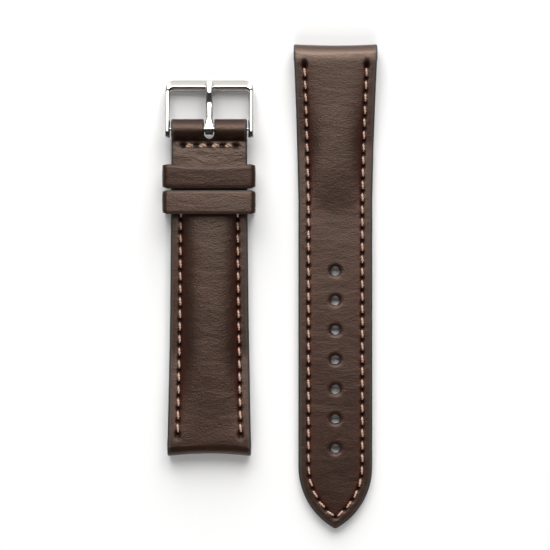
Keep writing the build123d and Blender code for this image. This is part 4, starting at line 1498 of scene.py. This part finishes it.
@dataclass
class WatchStrap:
    """The strap's sub-assemblies, placed from the frame's own mounts and joints."""

    record: dict
    # Each leather's third colour is the tone beside the seams, partly painted shade on the
    # padding's slopes.
    upper: CalfLeather = CalfLeather("calf_leather_upper", "2b1711", "20110c", "300f09")
    lining: CalfLeather = CalfLeather("calf_leather_lining", "4a362c", "3d2c24", "4a362c",
                                      roughness=0.6)
    keeper: CalfLeather = CalfLeather("calf_leather_keeper", "2b1711", "20110c", "2b1711",
                                      roughness=0.37, crease=2.0)
    lug_radius: float = 2.45
    seam_inset: float = 2.4
    first_awl: float = 2.95
    stitch_pitch: float = 3.01
    side_stitches: int = 19
    long_length: float = 116.0
    long_stitches: int = 37
    tip_radius: float = 1.0
    tip_side_radius: float = 17.0
    hole_pitch: float = 7.1
    hole_count: int = 7
    first_hole: float = 3.7
    cross_seam: float = 71.8
    cross_pitch: float = 3.12
    cross_stitches: int = 4
    spring_bar: float = 75.8
    frame_front: float = 12.0
    frame_half_height: float = 1.3
    frame_gap: float = 0.12
    thread_bite: float = 0.12
    thread_under: float = 0.2

    def beds(self) -> tuple[Bed, Bed, Bed]:
        """Read the beds from the frame's mounts and joints.

        The buckle's bed dips until the frame's front is frame_gap off the table.

        Returns:
            The long half's bed, the short half's and the buckle's.
        """
        mounts = {m["name"]: m for m in self.record["mounts"]}
        joints = {j["name"]: j for j in self.record["behaviour"]["joints"]}
        long_lug = np.array(mounts["long_lug_bore"]["pos_m"])
        long_bed = Bed(long_lug * np.array([1.0, 1.0, 0.0]), np.array([-1.0, 0.0, 0.0]),
                       np.array([0.0, -1.0, 0.0]), np.array([0.0, 0.0, 1.0]))
        along = -np.array(joints["keeper_slide"]["axis"], float)
        across = np.array([1.0, 0.0, 0.0])
        up = np.cross(across, along)
        short_lug = np.array(mounts["short_lug_bore"]["pos_m"])
        short_bed = Bed(short_lug - up * short_lug[2], across, along, up)
        pivot = np.array(joints["frame_hinge"]["pos_m"])
        reach = math.hypot(self.frame_front, self.frame_half_height)
        dip = (math.asin((pivot[2] / MM - self.frame_gap) / reach)
               - math.atan2(self.frame_half_height, self.frame_front))
        frame_bed = Bed(pivot, across, np.array([0.0, math.cos(dip), -math.sin(dip)]),
                        np.array([0.0, math.sin(dip), math.cos(dip)]))
        return long_bed, short_bed, frame_bed

    def build_long(self, bed: Bed) -> None:
        """Build the half with the holes.

        Args:
            bed: Its bed.
        """
        plan = Plan((0.0, 0.8, 2.6, 12.0, 22.0, 35.0), (20.0, 20.0, 19.7, 18.95, 18.3, 17.7),
                    self.long_length - self.lug_radius, self.tip_radius, self.tip_side_radius)
        seam = Seam.round_tip(plan, self.seam_inset, self.first_awl, self.long_stitches)
        first = bed.origin[1] / MM - self.first_hole
        holes = [(0.0, first + self.hole_pitch * i) for i in range(self.hole_count)]
        half = PaddedHalf(Half.LONG, bed, plan, [seam], (0.8, 2.6, 28.0, 37.6, 200.0),
                          (4.9, 4.75, 3.25, 2.2, 2.2), plan.end, dished=holes)
        self.dress(half.build_upper(), self.upper, "strap",
                   ("long_upper", "long_padding"))
        self.dress(half.build_lining(), self.lining, "strap", ("long_lining",))
        self.sew("long_stitches", half, [seam], ("long_seam",), TwistedThread())

    def build_short(self, bed: Bed) -> None:
        """Build the half that carries the buckle and the keepers.

        Args:
            bed: Its bed.
        """
        plan = Plan((0.0, 0.8, 2.6, 11.0, 32.5, 55.0, 70.9),
                    (20.0, 20.0, 19.85, 19.5, 18.75, 18.35, 18.1), 85.0)
        sides = [Seam.along_side(plan, self.seam_inset, sign, self.first_awl, self.stitch_pitch,
                                 self.side_stitches) for sign in (-1, 1)]
        cross = Seam.across_strap(self.cross_seam, self.cross_pitch, self.cross_stitches)
        fold = self.spring_bar
        reach = math.sqrt((PaddedHalf.fold_radius + PaddedHalf.fold_fillet) ** 2 - (
            PaddedHalf.flange + PaddedHalf.fold_fillet - PaddedHalf.fold_radius) ** 2)
        half = PaddedHalf(Half.SHORT, bed, plan, sides + [cross],
                          (0.8, 2.6, 11.0, 32.5, 55.0, 62.0, 67.7, 70.9, 200.0),
                          (4.9, 4.75, 4.5, 3.95, 3.4, 3.2, 2.75, 2.2, 2.2), fold - reach, fold=fold,
                          hollow=0.6, wrinkles=[(-7.6, 71.4), (7.6, 71.4)], side_end=61.0)
        self.dress(half.build_upper(), self.upper, "strap",
                   ("short_upper", "short_padding"))
        self.dress(half.build_lining(), self.lining, "strap", ("short_lining",))
        self.sew("short_side_stitches", half, sides, ("short_seam_left", "short_seam_right"),
                 TwistedThread())
        self.sew("short_cross_stitches", half, [cross], ("short_cross_seam",),
                 TwistedThread(hidden=0.2, slant=0.05, lift=0.12), scale=2.0)
        fixed = Keeper("fixed_keeper_band", bed, 61.6, 67.4, 1.1, 0.6, 0.7, lean=0.06)
        self.dress(fixed.build(), self.keeper, "strap", ("fixed_keeper",))
        free = Keeper("free_keeper_band", bed, 55.5, 61.1, -1.3, 1.0, 0.0, lean=-0.035)
        self.dress(free.build(), self.keeper, "sliding_keeper", ("free_keeper",))

    def sew(self, name: str, half: PaddedHalf, seams: list[Seam], nodes: tuple[str, ...],
            thread: TwistedThread, scale: float = 1.0) -> None:
        """Sew stitches on top and underneath along seams, as one piece.

        Args:
            name: Name of the piece.
            half: The half that is sewn.
            seams: Its seams.
            nodes: The CAD nodes that the thread stands for.
            thread: The thread on top.
            scale: Its thickness as a part of the usual one.
        """
        tubes = [thread.sew(half.bed, seam, lambda v: half.edge_height(v) - self.thread_bite, 1.0,
                            scale) for seam in seams]
        low = TwistedThread(sink=0.3, lift=0.0, ply=0.13, offset=0.1)
        tubes += [low.sew(half.bed, seam, lambda v: np.full_like(v, self.thread_under), -1.0)
                  for seam in seams]
        self.dress(many_shells(name, np.concatenate(tubes)), WaxedThread(), "strap",
                   nodes)

    def build_buckle(self, bed: Bed) -> None:
        """Build the frame and the tongue.

        Args:
            bed: The buckle's bed.
        """
        buckle = Buckle(bed)
        steel = Steel("polished_steel")
        self.dress(buckle.build_frame(), steel, "frame", ("buckle_frame",))
        self.dress(buckle.build_tongue(), steel, "tongue", ("buckle_tongue",))

    def dress(self, piece: bpy.types.Object, finish: CalfLeather | WaxedThread | Steel, body: str,
              nodes: tuple[str, ...]) -> None:
        """Give a piece its material and tie it to the frame.

        Args:
            piece: The object.
            finish: What it is made of.
            body: The body that it moves with.
            nodes: The CAD nodes that it stands for.
        """
        piece.data.materials.clear()
        piece.data.materials.append(material_of(finish))
        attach(piece, body)
        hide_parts(*nodes)
        log.info("%s: %d faces on %s", piece.name, len(piece.data.polygons), body)

    def dress_nodes(self, nodes: dict[str, bpy.types.Object]) -> None:
        """Give the CAD nodes that stay in view a material of their own.

        Args:
            nodes: The CAD nodes' objects by name.
        """
        turned = Steel("turned_steel", body="c9c7c3", roughness=0.24)
        for finish, names in (
                (self.lining, ("long_lug_liner", "short_lug_liner", "short_fold_liner")),
                (WaxedThread(), ("free_keeper_stitch",)),
                (turned, ("spring_bar_tube", "spring_bar_spring", "spring_bar_plunger_left",
                          "spring_bar_plunger_right"))):
            for name in names:
                mesh = nodes[name].data
                mesh.materials.clear()
                mesh.materials.append(material_of(finish))
                log.info("%s: CAD mesh kept", name)


made: dict[str, bpy.types.Material] = {}


def material_of(finish: CalfLeather | WaxedThread | Steel) -> bpy.types.Material:
    """Return a finish's material, made the first time that it is asked for.

    Args:
        finish: The finish.

    Returns:
        Its material.
    """
    if finish.name not in made:
        made[finish.name] = finish.make()
    return made[finish.name]


def main() -> None:
    """Build the strap over the frame and set the studio up."""
    logging.basicConfig(level=logging.INFO, format="%(message)s")
    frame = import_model()
    strap = WatchStrap(frame["record"])
    long_bed, short_bed, frame_bed = strap.beds()
    strap.build_long(long_bed)
    strap.build_short(short_bed)
    strap.build_buckle(frame_bed)
    strap.dress_nodes(frame["nodes"])
    Studio().build()


if __name__ == "__main__":
    main()
